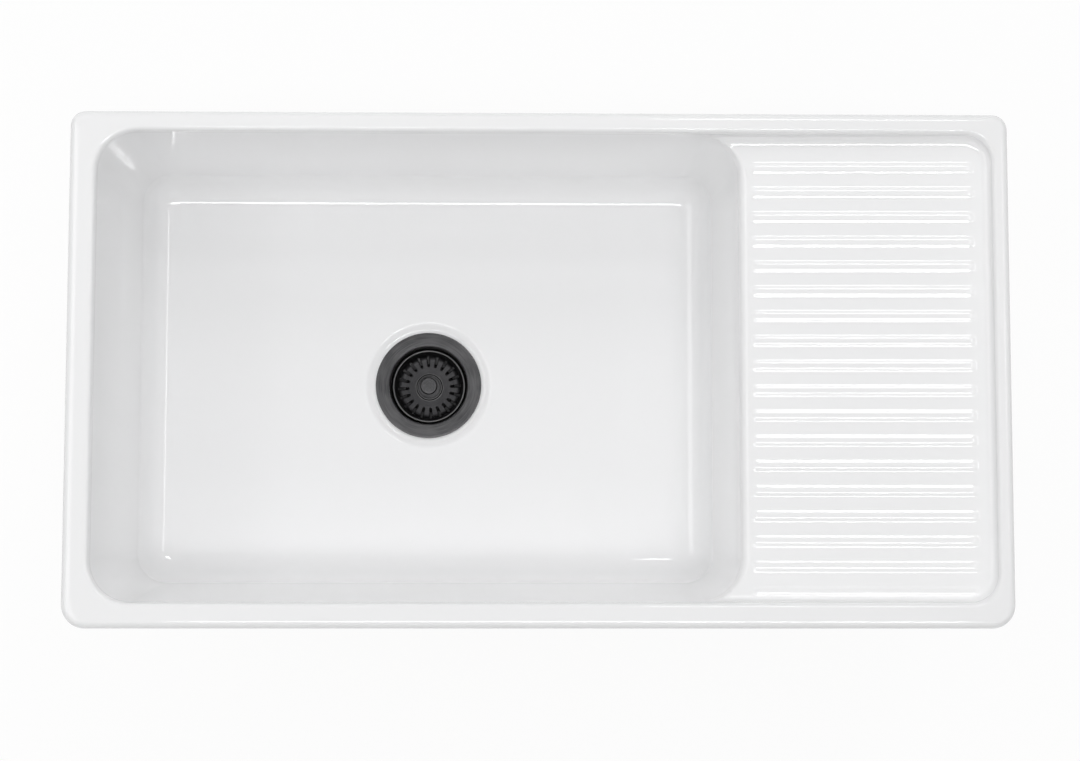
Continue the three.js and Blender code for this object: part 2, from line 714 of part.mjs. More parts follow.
// A pressed basket: rolled rim, tapering wall, rounded corner, flat floor, raised boss and a ring of slots.
function basketCup() {
  const rimInner = basketRadius - BASKET_RIM_WIDTH;
  const rimBottom = basketRimTop - BASKET_RIM_HEIGHT;
  const wallTop = rimInner + BASKET_SHEET;
  const wallFoot = wallTop - BASKET_TAPER;
  const cornerHeight = basketFloor + BASKET_CORNER_RADIUS;
  const cornerCentre = wallFoot - BASKET_SHEET - BASKET_CORNER_RADIUS;
  const underside = basketFloor - BASKET_SHEET;
  const rimRadius = BASKET_RIM_HEIGHT / 2;
  const sheet = toSolid(
    lathe([
      [POST_RADIUS + SEAT_GAP, bossUnderside],
      [BASKET_BOSS_RADIUS - BASKET_SHEET, bossUnderside],
      [BASKET_BOSS_RADIUS, underside],
      ...arc(cornerCentre, cornerHeight, BASKET_CORNER_RADIUS + BASKET_SHEET, -QUARTER, 0),
      [wallTop, rimBottom],
      ...arc(basketRadius - rimRadius, basketRimTop - rimRadius, rimRadius, -QUARTER, QUARTER, 4),
      [rimInner + 0.4, basketRimTop],
      [rimInner, basketRimTop - 0.4],
      ...arc(cornerCentre, cornerHeight, BASKET_CORNER_RADIUS, 0, -QUARTER),
      [BASKET_BOSS_RADIUS, basketFloor],
      [BASKET_BOSS_RADIUS - BASKET_SHEET, bossTop],
      [POST_RADIUS + SEAT_GAP, bossTop],
    ]),
  );
  let basket = sheet;
  const slotOuter = basketRadius + OVERCUT;
  const slotTop = basketFloor + SLOT_RISE;
  const slotBottom = underside - OVERCUT;
  for (let slot = 0; slot < SLOT_COUNT; slot++) {
    const cutter = block(
      slotOuter - SLOT_INNER_RADIUS,
      SLOT_WIDTH,
      slotTop - slotBottom,
      (slotOuter + SLOT_INNER_RADIUS) / 2,
      0,
      (slotTop + slotBottom) / 2,
    );
    const angle = THREE.MathUtils.degToRad(SLOT_START_ANGLE) + (slot / SLOT_COUNT) * 2 * Math.PI;
    basket = basket.subtract(toSolid(cutter.rotateZ(angle)));
  }
  return toGeometry(basket);
}

// A mushroom pull with a flared foot on the basket's boss and a blind bore for the post.
function basketKnob() {
  const headBottom = knobTop - KNOB_HEAD_THICKNESS;
  const footRadius = BASKET_BOSS_RADIUS - KNOB_FOOT_MARGIN;
  const bore = POST_RADIUS + SEAT_GAP;
  const boreTop = knobFoot + KNOB_BORE_DEPTH;
  return lathe(
    [
      [0, boreTop],
      [bore, boreTop],
      [bore, knobFoot],
      [footRadius, knobFoot],
      [footRadius, knobFoot + 1],
      [KNOB_NECK_RADIUS + 2, knobFoot + 2.4],
      [KNOB_NECK_RADIUS, knobFoot + 6],
      [KNOB_NECK_RADIUS, headBottom - 1],
      [KNOB_RADIUS - 1, headBottom],
      [KNOB_RADIUS, headBottom + 0.8],
      [KNOB_RADIUS, knobTop - 0.8],
      [KNOB_RADIUS - 0.8, knobTop],
      [0, knobTop],
    ],
    SMALL_SEGMENTS,
  );
}

// A turned post: its top screws into the knob, its collar holds the basket's floor off the stopper.
function basketPost() {
  const top = knobFoot + KNOB_BORE_DEPTH - SEAT_GAP;
  const collarTop = bossUnderside - SEAT_GAP;
  const collarBottom = stopperTop + SEAT_GAP;
  return lathe(
    [
      [0, postBottom],
      [POST_RADIUS - 0.8, postBottom],
      [POST_RADIUS, postBottom + 0.8],
      [POST_RADIUS, collarBottom],
      [POST_COLLAR_RADIUS, collarBottom],
      [POST_COLLAR_RADIUS, collarTop],
      [POST_RADIUS, collarTop],
      [POST_RADIUS, top],
      [0, top],
    ],
    SMALL_SEGMENTS,
  );
}

// A rubber disc with a lip round its edge that closes on the floor of the cup.
function basketStopper() {
  const bore = POST_RADIUS + SEAT_GAP;
  const lipInner = STOPPER_RADIUS - 4;
  return lathe([
    [bore, stopperHubBottom],
    [lipInner, stopperHubBottom],
    [lipInner + 1, stopperBottom],
    [STOPPER_RADIUS - 0.8, stopperBottom],
    [STOPPER_RADIUS, stopperBottom + 0.8],
    [STOPPER_RADIUS - 1.2, stopperTop - 1.2],
    [STOPPER_RADIUS - 6, stopperTop],
    [bore, stopperTop],
  ]);
}

function stopperWasher() {
  return ringGeometry(
    POST_RADIUS + SEAT_GAP,
    STOPPER_WASHER_RADIUS,
    stopperWasherTop - STOPPER_WASHER_THICKNESS,
    stopperWasherTop,
    SMALL_SEGMENTS,
  );
}

function postNut() {
  const hexagon = new THREE.Shape();
  const cornerRadius = POST_NUT_WIDTH / 2 / Math.cos(Math.PI / 6);
  for (let corner = 0; corner < 6; corner++) {
    const angle = (corner / 6) * 2 * Math.PI;
    const x = cornerRadius * Math.cos(angle);
    const y = cornerRadius * Math.sin(angle);
    if (corner === 0) hexagon.moveTo(x, y);
    else hexagon.lineTo(x, y);
  }
  hexagon.closePath();
  hexagon.holes.push(new THREE.Path().absarc(0, 0, POST_RADIUS + SEAT_GAP, 0, 2 * Math.PI, true));
  const nut = new THREE.ExtrudeGeometry(hexagon, {
    depth: POST_NUT_THICKNESS,
    bevelEnabled: false,
    curveSegments: 12,
  });
  return nut.translate(0, 0, postNutTop - POST_NUT_THICKNESS);
}

// A spring-steel sleeve whose waist bulges, so that it grips the hub hole of the cross.
function postClip() {
  const bore = POST_RADIUS + SEAT_GAP;
  const middle = (clipTop + clipBottom) / 2;
  const bulgeInner = CLIP_BULGE - CLIP_WALL;
  return lathe(
    [
      [bore, clipBottom],
      [bore + CLIP_WALL, clipBottom],
      [CLIP_BULGE, middle],
      [bore + CLIP_WALL, clipTop],
      [bore, clipTop],
      [bulgeInner, middle],
    ],
    SMALL_SEGMENTS,
  );
}

// ---- Materials: one for each piece ----

function finish(color, roughness, metalness) {
  return () => new THREE.MeshStandardMaterial({ color, roughness, metalness });
}
const whiteGlaze = finish(0xf1f2f3, 0.08, 0);
const gunmetal = finish(0x55565a, 0.38, 0.85);
const darkSteel = finish(0x3d3e42, 0.42, 0.85);
const castZinc = finish(0x8d8f92, 0.5, 0.8);
const brass = finish(0xa88a4e, 0.35, 0.9);
const blackRubber = finish(0x1c1c1d, 0.85, 0);
const foam = finish(0x2b2b2c, 0.9, 0);
const fibre = finish(0xb59a72, 0.9, 0);
const whitePlastic = finish(0xdcdcd6, 0.55, 0);

// ---- Assembly ----

const sink = new THREE.Group();

function addPiece(group, name, geometry, material) {
  const mesh = new THREE.Mesh(geometry, material());
  mesh.name = name;
  group.add(mesh);
}

addPiece(sink, "sink_body", sinkBody(), whiteGlaze);

const strainer = new THREE.Group();
strainer.position.set(drainX, drainY, 0);
sink.add(strainer);
addPiece(strainer, "strainer_body", strainerBody(), gunmetal);
addPiece(strainer, "flange_gasket", flangeGasket(), foam);
addPiece(strainer, "sealing_washer", sealingWasher(), blackRubber);
addPiece(strainer, "friction_ring", frictionRing(), fibre);
addPiece(strainer, "locknut", locknut(), castZinc);
addPiece(strainer, "outlet_ferrule", outletFerrule(), brass);
addPiece(strainer, "outlet_cross", outletCross(), darkSteel);
addPiece(strainer, "tailpiece_washer", tailpieceWasher(), whitePlastic);
addPiece(strainer, "tailpiece", tailpiece(), gunmetal);
addPiece(strainer, "coupling_nut", couplingNut(), castZinc);

const basket = new THREE.Group();
strainer.add(basket);
addPiece(basket, "basket_stopper", basketStopper(), blackRubber);
addPiece(basket, "basket_cup", basketCup(), darkSteel);
addPiece(basket, "basket_knob", basketKnob(), gunmetal);
addPiece(basket, "basket_post", basketPost(), darkSteel);
addPiece(basket, "stopper_washer", stopperWasher(), darkSteel);
addPiece(basket, "post_nut", postNut(), castZinc);
addPiece(basket, "post_clip", postClip(), darkSteel);

export default sink;
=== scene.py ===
"""Farmhouse sink with drainboard and basket strainer: fine surfaces, finishes, light and camera."""
import json
import math

import bmesh
import bpy
import numpy as np
from mathutils import Matrix, Vector
from mathutils.geometry import tessellate_polygon

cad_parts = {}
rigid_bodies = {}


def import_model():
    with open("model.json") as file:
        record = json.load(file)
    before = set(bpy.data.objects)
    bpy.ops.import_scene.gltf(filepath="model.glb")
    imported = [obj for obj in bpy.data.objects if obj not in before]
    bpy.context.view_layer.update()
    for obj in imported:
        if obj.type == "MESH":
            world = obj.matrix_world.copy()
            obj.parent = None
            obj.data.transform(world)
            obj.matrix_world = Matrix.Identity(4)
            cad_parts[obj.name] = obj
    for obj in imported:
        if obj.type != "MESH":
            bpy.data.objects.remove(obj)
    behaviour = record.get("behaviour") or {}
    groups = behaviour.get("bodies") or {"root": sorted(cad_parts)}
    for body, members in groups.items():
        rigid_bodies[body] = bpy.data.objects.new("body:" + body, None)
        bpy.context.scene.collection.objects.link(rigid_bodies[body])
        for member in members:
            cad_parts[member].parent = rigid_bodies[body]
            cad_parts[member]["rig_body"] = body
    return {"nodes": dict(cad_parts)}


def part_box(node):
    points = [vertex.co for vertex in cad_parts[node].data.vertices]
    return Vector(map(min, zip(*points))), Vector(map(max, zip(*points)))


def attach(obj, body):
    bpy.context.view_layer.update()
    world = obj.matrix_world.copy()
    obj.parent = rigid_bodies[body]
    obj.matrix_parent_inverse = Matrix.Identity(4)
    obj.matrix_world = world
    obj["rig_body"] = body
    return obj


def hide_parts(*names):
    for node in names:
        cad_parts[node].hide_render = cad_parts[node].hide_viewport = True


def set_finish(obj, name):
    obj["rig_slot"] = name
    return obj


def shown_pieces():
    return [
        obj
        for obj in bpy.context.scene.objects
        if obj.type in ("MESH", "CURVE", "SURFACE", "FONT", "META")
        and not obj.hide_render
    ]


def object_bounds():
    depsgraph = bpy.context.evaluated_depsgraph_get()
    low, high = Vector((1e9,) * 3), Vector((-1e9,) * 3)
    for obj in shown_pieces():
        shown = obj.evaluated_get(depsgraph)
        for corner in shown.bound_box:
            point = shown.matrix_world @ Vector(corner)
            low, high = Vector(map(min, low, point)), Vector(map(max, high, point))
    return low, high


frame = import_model()
cad_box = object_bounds()

# All sizes are in metres. left and right are along X, front and back along Y.

# ---- Fireclay body: outside ----
SINK_LOW, SINK_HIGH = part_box("sink_body")
TOP = SINK_HIGH.z
OUTER = (SINK_LOW.x, SINK_HIGH.x, SINK_LOW.y, SINK_HIGH.y)
FRONT_CORNER = 0.023
BACK_CORNER = 0.015
OUTER_ROUND = 0.007
FOOT_ROUND = 0.004
INNER_ROUND = 0.005
RIM_LEFT, RIM_RIGHT, RIM_FRONT, RIM_BACK = 0.026, 0.016, 0.025, 0.020
OPENING = (OUTER[0] + RIM_LEFT, OUTER[1] - RIM_RIGHT, OUTER[2] + RIM_FRONT, OUTER[3] - RIM_BACK)

# ---- Bowl ----
BOWL_LENGTH = 0.627
BOWL = (OPENING[0], OPENING[0] + BOWL_LENGTH, OPENING[2], OPENING[3])
BOWL_CORNER = 0.040
FLOOR_CORNER = 0.014
COVE = 0.032
SIDE_DRAFT, FRONT_DRAFT, BACK_DRAFT = 0.009, 0.013, 0.006
FLOOR_AT_SUMP = 0.024
FLOOR_AT_WALL = 0.027
LIP = 0.009

# ---- Drainboard ----
BOARD_AT_BOWL = TOP - 0.018
BOARD_AT_END = TOP - 0.013
BOARD_LEFT = BOWL[1] + LIP
BOARD_RISE = 0.007
REACH_FRONT, REACH_END, REACH_BACK = 0.007, 0.009, 0.014
BOARD_CORNER = 0.027
RIB_PITCH = 0.0243
RIB_COUNT = 18
FIRST_RIB = OPENING[2] + 0.0104
RIB_WIDTH = 0.0142
RIB_FLANK = 0.0060
RIB_HEIGHT = 0.0009
RIB_LEFT = BOARD_LEFT
RIB_RIGHT = OPENING[1] - 0.016
RIB_TAPER = 0.006
BOARD_THICKNESS = 0.014

# ---- Hollow under the drainboard ----
HOLLOW = (BOWL[1] + 0.016, OUTER[1] - 0.018, OUTER[2] + 0.018, OUTER[3] - 0.018)
HOLLOW_CORNER = 0.030
HOLLOW_COVE = 0.015
HOLLOW_DRAFT = 0.004
HOLLOW_LIP = 0.002

# ---- Drain ----
DRAIN = ((BOWL[0] + BOWL[1]) / 2, 0.0)
SUMP_RADIUS = 0.06005
SUMP_EDGE = 0.009
SEAT_HEIGHT = 0.0205
HOLE_RADIUS = 0.046
HOLE_ROUND = 0.002
SPOT_RADIUS = 0.0613
SPOT_DEPTH = 0.0015
EDGE_BREAK = 0.0008

QUARTER = math.pi / 2


# ---- Mesh helpers ----

def shape_object(name, points, faces, sharp=math.radians(40), closed=True):
    """A mesh object from points and faces, doubles merged, smooth shaded; a closed one is turned outwards."""
    mesh = bpy.data.meshes.new(name)
    mesh.from_pydata(points.tolist(), [], faces)
    work = bmesh.new()
    work.from_mesh(mesh)
    bmesh.ops.remove_doubles(work, verts=work.verts, dist=2e-6)
    bmesh.ops.dissolve_degenerate(work, edges=work.edges, dist=1e-7)
    if closed:
        bmesh.ops.recalc_face_normals(work, faces=work.faces)
    work.to_mesh(mesh)
    work.free()
    mesh.shade_smooth()
    mesh.set_sharp_from_angle(angle=sharp)
    mesh.update()
    thing = bpy.data.objects.new(name, mesh)
    bpy.context.scene.collection.objects.link(thing)
    return thing


def grid_faces(rows, columns, offset=0, closed=False):
    """Quads between neighbouring rows and columns of points; closed joins the last column to the first."""
    spans = columns if closed else columns - 1
    i, j = np.meshgrid(np.arange(rows - 1), np.arange(spans), indexing="ij")
    k = (j + 1) % columns
    below, above = i * columns, (i + 1) * columns
    quads = np.stack([below + j, below + k, above + k, above + j], axis=-1)
    return (quads.reshape(-1, 4) + offset).tolist()


class Patches:
    """Collects grids of points that share borders, for one mesh."""

    def __init__(self):
        self.points, self.faces, self.count = [], [], 0

    def grid(self, points, closed=False):
        """Adds a grid of shape (rows, columns, 3)."""
        rows, columns = points.shape[:2]
        self.faces += grid_faces(rows, columns, self.count, closed)
        self.points.append(points.reshape(-1, 3))
        self.count += rows * columns

    def cap(self, loops):
        """Fills a flat region between one outline and the holes in it, all given as closed rows of points."""
        flat = [[Vector(point) for point in loop] for loop in loops]
        self.faces += [[self.count + corner for corner in face] for face in tessellate_polygon(flat)]
        self.points.append(np.concatenate(loops))
        self.count += sum(len(loop) for loop in loops)

    def build(self, name, **options):
        return shape_object(name, np.concatenate(self.points), self.faces, **options)


def outline(box, radii, places):
    """Points round a rectangle with rounded corners, counter-clockwise from the front left corner's end.

    box is left, right, front, back. radii are those of the corners front right, back right, back left and
    front left. places holds, for front side, corner, right side, corner and so on, the shares along each."""
    left, right, front, back = box
    fr, br, bl, fl = radii
    sides = [
        ((left + fl, front), (right - fr, front)),
        ((right, front + fr), (right, back - br)),
        ((right - br, back), (left + bl, back)),
        ((left, back - bl), (left, front + fl)),
    ]
    corners = [
        (right - fr, front + fr, fr),
        (right - br, back - br, br),
        (left + bl, back - bl, bl),
        (left + fl, front + fl, fl),
    ]
    parts = []
    for k in range(4):
        start, end = np.array(sides[k][0]), np.array(sides[k][1])
        parts.append(start + (end - start) * places[2 * k][:, None])
        x, y, radius = corners[k]
        angle = (k - 1 + places[2 * k + 1]) * QUARTER
        parts.append(np.stack([x + radius * np.cos(angle), y + radius * np.sin(angle)], axis=1))
    return np.concatenate(parts)


def inset(box, left=0.0, right=0.0, front=0.0, back=0.0):
    """A box with its sides moved inwards; a negative number moves a side outwards."""
    return (box[0] + left, box[1] - right, box[2] + front, box[3] - back)


def raised(points, height):
    """Plan points lifted to a height, which is one number or one for each point."""
    return np.column_stack([points, np.broadcast_to(height, len(points))])


def steps(start, end, count, last=True):
    """Evenly spaced numbers, without the end where last is false."""
    return np.linspace(start, end, count, endpoint=last)


# ---- Fireclay body: one closed glazed surface ----

# Bowl, lip, board, cove and rim are grids that meet point for point. So the bowl's rings have, on the
# drainboard's side, one point for each row of the board: the cove's, then the ribs', then the cove's again.
COVE_ROWS = 9
RIB_FADE_ROWS = 3
cove_angle = steps(QUARTER, 0, COVE_ROWS + 1)
cove_share = 1 - np.sin(cove_angle)
cove_rise = BOARD_RISE * (1 - np.cos(cove_angle))
LIP_CORNER = BOWL_CORNER + LIP
front_turn = np.arccos(1 - REACH_FRONT * cove_share / LIP_CORNER)
back_turn = np.arccos(1 - REACH_BACK * cove_share / LIP_CORNER)
flank_rows = RIB_WIDTH / 2 - RIB_FLANK * steps(0, 1, 8)
rib_rows = np.concatenate([-flank_rows, [0], flank_rows[::-1], [RIB_PITCH / 2]])
row_y = (FIRST_RIB + RIB_PITCH * np.arange(RIB_COUNT)[:, None] + rib_rows).ravel()
side_start, side_end = OPENING[2] + LIP_CORNER, OPENING[3] - LIP_CORNER
ROW_CLEARANCE = 0.0003


def rows_between(start, end):
    """The ribs' rows that lie between two places along Y and not right beside either."""
    return row_y[(row_y > start + ROW_CLEARANCE) & (row_y < end - ROW_CLEARANCE)]


front_y = rows_between(OPENING[2] + REACH_FRONT, side_start)
side_y = rows_between(side_start, side_end)
back_y = rows_between(side_end, OPENING[3] - REACH_BACK)
more_front = np.arccos(1 - (front_y - OPENING[2]) / LIP_CORNER)
more_back = np.arccos(1 - (OPENING[3] - back_y) / LIP_CORNER)
front_corner = np.concatenate([front_turn, more_front]) / QUARTER
back_corner = 1 - np.concatenate([[QUARTER], more_back, back_turn[::-1][:-1]]) / QUARTER
lip_side = np.concatenate([[0], (side_y - side_start) / (side_end - side_start)])
front_side = steps(0, 1, 60, last=False)
back_side = steps(0, 1, 60, last=False)
left_side = steps(0, 1, 48, last=False)
left_corner = steps(0, 1, 20, last=False)
BOWL_PLACES = [front_side, front_corner, lip_side, back_corner]
BOWL_PLACES += [back_side, left_corner, left_side, left_corner]
BOARD_START = len(front_side)
BOARD_ROWS = len(front_corner) + len(lip_side) + len(back_corner) + 1
board_points = np.arange(BOARD_START, BOARD_START + BOARD_ROWS)
ring_size = sum(len(part) for part in BOWL_PLACES)
wall_points = np.arange(BOARD_START + BOARD_ROWS - 1, ring_size + BOARD_START + 1) % ring_size


def board_height(x):
    """Height of the bare drainboard: level at the bowl's lip, then rising evenly to the end."""
    slope = (BOARD_AT_END - BOARD_AT_BOWL) / (OPENING[1] - REACH_END - BOARD_LEFT)
    return BOARD_AT_BOWL + slope * np.maximum(x - BOARD_LEFT, 0)


def rib_height(x, y):
    """Ribs along X: a flat crest between two soft flanks, repeated across the board, fading at both ends."""
    nearest = np.clip(np.round((y - FIRST_RIB) / RIB_PITCH), 0, RIB_COUNT - 1)
    off = np.abs(y - FIRST_RIB - nearest * RIB_PITCH)
    up = np.clip((RIB_WIDTH / 2 - off) / RIB_FLANK, 0, 1)
    start = np.clip((x - RIB_LEFT) / RIB_TAPER, 0, 1)
    end = np.clip((RIB_RIGHT - x) / RIB_TAPER, 0, 1)
    fade = (1 - np.cos(math.pi * start)) / 2 * np.sin(end * QUARTER)
    return RIB_HEIGHT * (1 - np.cos(math.pi * up)) / 2 * fade


def wall_ring(share, flare=0.0):
    """The bowl's outline in plan: share 1 is the narrow foot of the drafted walls, 0 their top.

    flare moves only the wall at the drainboard outwards, for the rounded lip."""
    box = inset(BOWL, SIDE_DRAFT * share, SIDE_DRAFT * share - flare, FRONT_DRAFT * share, BACK_DRAFT * share)
    radius = BOWL_CORNER - SIDE_DRAFT * share
    return outline(box, [radius + flare, radius + flare, radius, radius], BOWL_PLACES)


def drain_ring(radius, height, toward):
    """A circle round the drain whose points lie in the directions of the given ring's points."""
    away = toward - np.array(DRAIN)
    unit = away / np.linalg.norm(away, axis=1)[:, None]
    return raised(np.array(DRAIN) + radius * unit, height)


def bowl_rings():
    """Rings from the underside's spot face up the drain hole, over sump, floor and cove to the lip.

    Over the sump's edge the height follows half a cosine wave, and the cove is a quarter round."""
    foot = inset(BOWL, SIDE_DRAFT, SIDE_DRAFT, FRONT_DRAFT, BACK_DRAFT)
    foot_radius = BOWL_CORNER - SIDE_DRAFT
    floor_box = inset(foot, COVE, COVE, COVE, COVE)
    floor_edge = outline(floor_box, [FLOOR_CORNER] * 4, BOWL_PLACES)
    rings = [
        drain_ring(SPOT_RADIUS, 0, floor_edge),
        drain_ring(SPOT_RADIUS, SPOT_DEPTH, floor_edge),
        drain_ring(HOLE_RADIUS + EDGE_BREAK, SPOT_DEPTH, floor_edge),
        drain_ring(HOLE_RADIUS, SPOT_DEPTH + EDGE_BREAK, floor_edge),
    ]
    for height in steps(SPOT_DEPTH + EDGE_BREAK, SEAT_HEIGHT - HOLE_ROUND, 4)[1:]:
        rings.append(drain_ring(HOLE_RADIUS, height, floor_edge))
    for angle in steps(0, QUARTER, 5)[1:]:
        radius = HOLE_RADIUS + HOLE_ROUND * (1 - math.cos(angle))
        rings.append(drain_ring(radius, SEAT_HEIGHT - HOLE_ROUND * (1 - math.sin(angle)), floor_edge))
    rings.append(drain_ring((HOLE_RADIUS + SUMP_RADIUS) / 2, SEAT_HEIGHT, floor_edge))
    sump_depth = FLOOR_AT_SUMP - SEAT_HEIGHT
    for share in steps(0, 1, 11):
        height = SEAT_HEIGHT + sump_depth * (1 - math.cos(math.pi * share)) / 2
        rings.append(drain_ring(SUMP_RADIUS + SUMP_EDGE * share, height, floor_edge))
    sump_edge = rings[-1]
    target = raised(floor_edge, FLOOR_AT_WALL)
    rings += [sump_edge + (target - sump_edge) * share for share in steps(0, 1, 9)[1:]]
    for angle in steps(0, QUARTER, 18)[1:]:
        share = 1 - math.sin(angle)
        box = inset(foot, COVE * share, COVE * share, COVE * share, COVE * share)
        radius = foot_radius + share * (FLOOR_CORNER - foot_radius)
        height = FLOOR_AT_WALL + COVE * (1 - math.cos(angle))
        rings.append(raised(outline(box, [radius] * 4, BOWL_PLACES), height))
    cove_top = FLOOR_AT_WALL + COVE
    for height in steps(cove_top, BOARD_AT_BOWL - LIP, 9)[1:]:
        rings.append(raised(wall_ring(draft_share(height)), height))
    return np.array(rings)


def draft_share(height):
    """The share of the walls' draft at a height: 1 at the cove's top and 0 at the walls' top."""
    wall_top = BOARD_AT_BOWL + BOARD_RISE
    return (wall_top - height) / (wall_top - FLOOR_AT_WALL - COVE)


LIP_STEPS = 12
lip_angle = steps(0, QUARTER, LIP_STEPS + 1)
lip_gain = np.sin(lip_angle) ** 2
lip_height = BOARD_AT_BOWL - LIP + LIP * np.sin(lip_angle)
edge_height = lip_height + BOARD_RISE * lip_gain
row_rise = np.concatenate([cove_rise, np.zeros(BOARD_ROWS - 2 * len(cove_rise)), cove_rise[::-1]])


def upper_wall():
    """The bowl's wall beside the rim, on all sides but the drainboard's, up to the rim's wall."""
    return np.array([raised(wall_ring(draft_share(h))[wall_points], h) for h in edge_height])


def lip_grid():
    """The lip: a quarter round from the bowl's wall to the board, climbing with the cove at both ends."""
    rings = []
    for angle, gain, height, edge in zip(lip_angle, lip_gain, lip_height, edge_height):
        ring = wall_ring(draft_share(edge), LIP * (1 - math.cos(angle)))[board_points]
        rings.append(raised(ring, height + gain * row_rise))
    return np.array(rings)


# Columns of the drainboard: shares of the way from the lip's crest, fixed places, then shares of the corner.
start_shares = steps(0, 1, 5)[:-1]
CORNER_X = OPENING[1] - BOARD_CORNER
FLAT_RADIUS = BOARD_CORNER - REACH_END
FIRST_COLUMN = BOARD_LEFT + 0.0005
taper_end = RIB_LEFT + RIB_TAPER
fixed_x = np.concatenate([steps(FIRST_COLUMN, taper_end, 10, last=False), steps(taper_end, CORNER_X, 22)])
corner_shares = steps(0, 1, 11)[1:]
flat_front = OPENING[2] + REACH_FRONT + FLAT_RADIUS
flat_back = OPENING[3] - REACH_BACK - FLAT_RADIUS
ROOT_HALF = math.sqrt(0.5)


def board_flat(crest):
    """The ribbed part between the coves: a grid of straight rows, its two end corners rounded.

    A corner's square is pressed into a quarter disc by p' = p sqrt(1 - q^2/2) and q' = q sqrt(1 - p^2/2)."""
    rows = crest[COVE_ROWS:BOARD_ROWS - COVE_ROWS]
    near = rows[:, :1] + (fixed_x[0] - rows[:, :1]) * start_shares
    far = np.concatenate([fixed_x, CORNER_X + FLAT_RADIUS * corner_shares])
    x = np.concatenate([near, np.tile(far, (len(rows), 1))], axis=1)
    y = np.broadcast_to(rows[:, 1:2], x.shape)
    p = np.clip((x - CORNER_X) / FLAT_RADIUS, 0, 1)
    low = np.clip((flat_front - y) / FLAT_RADIUS, 0, 1)
    high = np.clip((y - flat_back) / FLAT_RADIUS, 0, 1)
    q = low + high
    x = np.where(p > 0, CORNER_X + FLAT_RADIUS * p * np.sqrt(1 - q * q / 2), x)
    shrink = np.sqrt(1 - p * p / 2)
    y = np.where(low > 0, flat_front - FLAT_RADIUS * low * shrink, y)
    y = np.where(high > 0, flat_back + FLAT_RADIUS * high * shrink, y)
    return np.stack([x, y, board_height(x) + rib_height(x, y)], axis=-1)


def board_cove(crest):
    """The cove round the board on three sides: rows parallel to the rim's wall, rising from board to wall.

    A row's share of the reach is 1 - sin(turn) and its share of the rise 1 - cos(turn). The ribs fade out
    over the rows next to the wall."""
    flat_y = crest[COVE_ROWS:BOARD_ROWS - COVE_ROWS, 1][1:-1]
    low = np.clip((flat_front - flat_y) / FLAT_RADIUS, 0, 1)
    high = np.clip((flat_y - flat_back) / FLAT_RADIUS, 0, 1)
    straight = np.clip((flat_y - flat_front) / (flat_back - flat_front), 0, 1)
    turn = np.arcsin(corner_shares * ROOT_HALF)
    rows = []
    for k in range(COVE_ROWS + 1):
        share = cove_share[k]
        radius = BOARD_CORNER - REACH_END * share
        front = OPENING[2] + REACH_FRONT * share
        back = OPENING[3] - REACH_BACK * share
        corner = CORNER_X + radius * np.sin(turn)
        bend = radius * (1 - np.cos(turn))
        front_x, back_x = (
            np.concatenate([first + (fixed_x[0] - first) * start_shares, fixed_x, corner])
            for first in (crest[k, 0], crest[-1 - k, 0])
        )
        along = len(front_x) - len(corner)
        front_row = np.column_stack([front_x, np.concatenate([np.full(along, front), front + bend])])
        back_row = np.column_stack([back_x, np.concatenate([np.full(along, back), back - bend])])
        y = front + radius + (back - front - 2 * radius) * straight
        y = np.where(low > 0, front + radius - radius * low * ROOT_HALF, y)
        y = np.where(high > 0, back - radius + radius * high * ROOT_HALF, y)
        off = np.maximum(low, high)
        x = CORNER_X + radius * np.sqrt(1 - off * off / 2)
        plan = np.concatenate([front_row, np.column_stack([x, y]), back_row[::-1]])
        ribs = rib_height(plan[:, 0], plan[:, 1]) * min(1, k / RIB_FADE_ROWS)
        height = board_height(plan[:, 0]) + cove_rise[k] + ribs
        rows.append(raised(plan, height))
    return np.array(rows)


def rim_places(cove):
    """Shares along the rim's sides and corners for the points of the wall above bowl and board."""
    wall = cove[0]
    columns = len(start_shares) + len(fixed_x)
    side_left, side_right = BOWL[0] + BOWL_CORNER, CORNER_X
    along_front = (wall[:columns, 0] - side_left) / (side_right - side_left)
    along_back = (side_right - wall[-columns:, 0]) / (side_right - side_left)
    bowl_share = (BOWL[1] - BOWL_CORNER - side_left) / (side_right - side_left)
    half = np.arcsin(corner_shares * ROOT_HALF) / QUARTER
    side = wall[columns + len(corner_shares):len(wall) - columns - len(corner_shares)]
    corner_front = OPENING[2] + BOARD_CORNER
    corner_back = OPENING[3] - BOARD_CORNER
    low = side[side[:, 1] < corner_front - 1e-9]
    high = side[side[:, 1] > corner_back + 1e-9]
    straight = side[len(low):len(side) - len(high)]
    low_share = 1 - np.arcsin(np.clip((corner_front - low[:, 1]) / BOARD_CORNER, 0, 1)) / QUARTER
    high_share = np.arcsin(np.clip((high[:, 1] - corner_back) / BOARD_CORNER, 0, 1)) / QUARTER
    front = np.concatenate([front_side * bowl_share, along_front[:-1]])
    front_right = np.concatenate([[0.0], half, low_share])
    right = (straight[:, 1] - corner_front) / (corner_back - corner_front)
    back_right = np.concatenate([high_share, 1 - half[::-1]])
    back = np.concatenate([along_back, 1 - bowl_share + bowl_share * back_side[1:]])
    return [front, front_right, right, back_right, back, left_corner, left_side, left_corner]


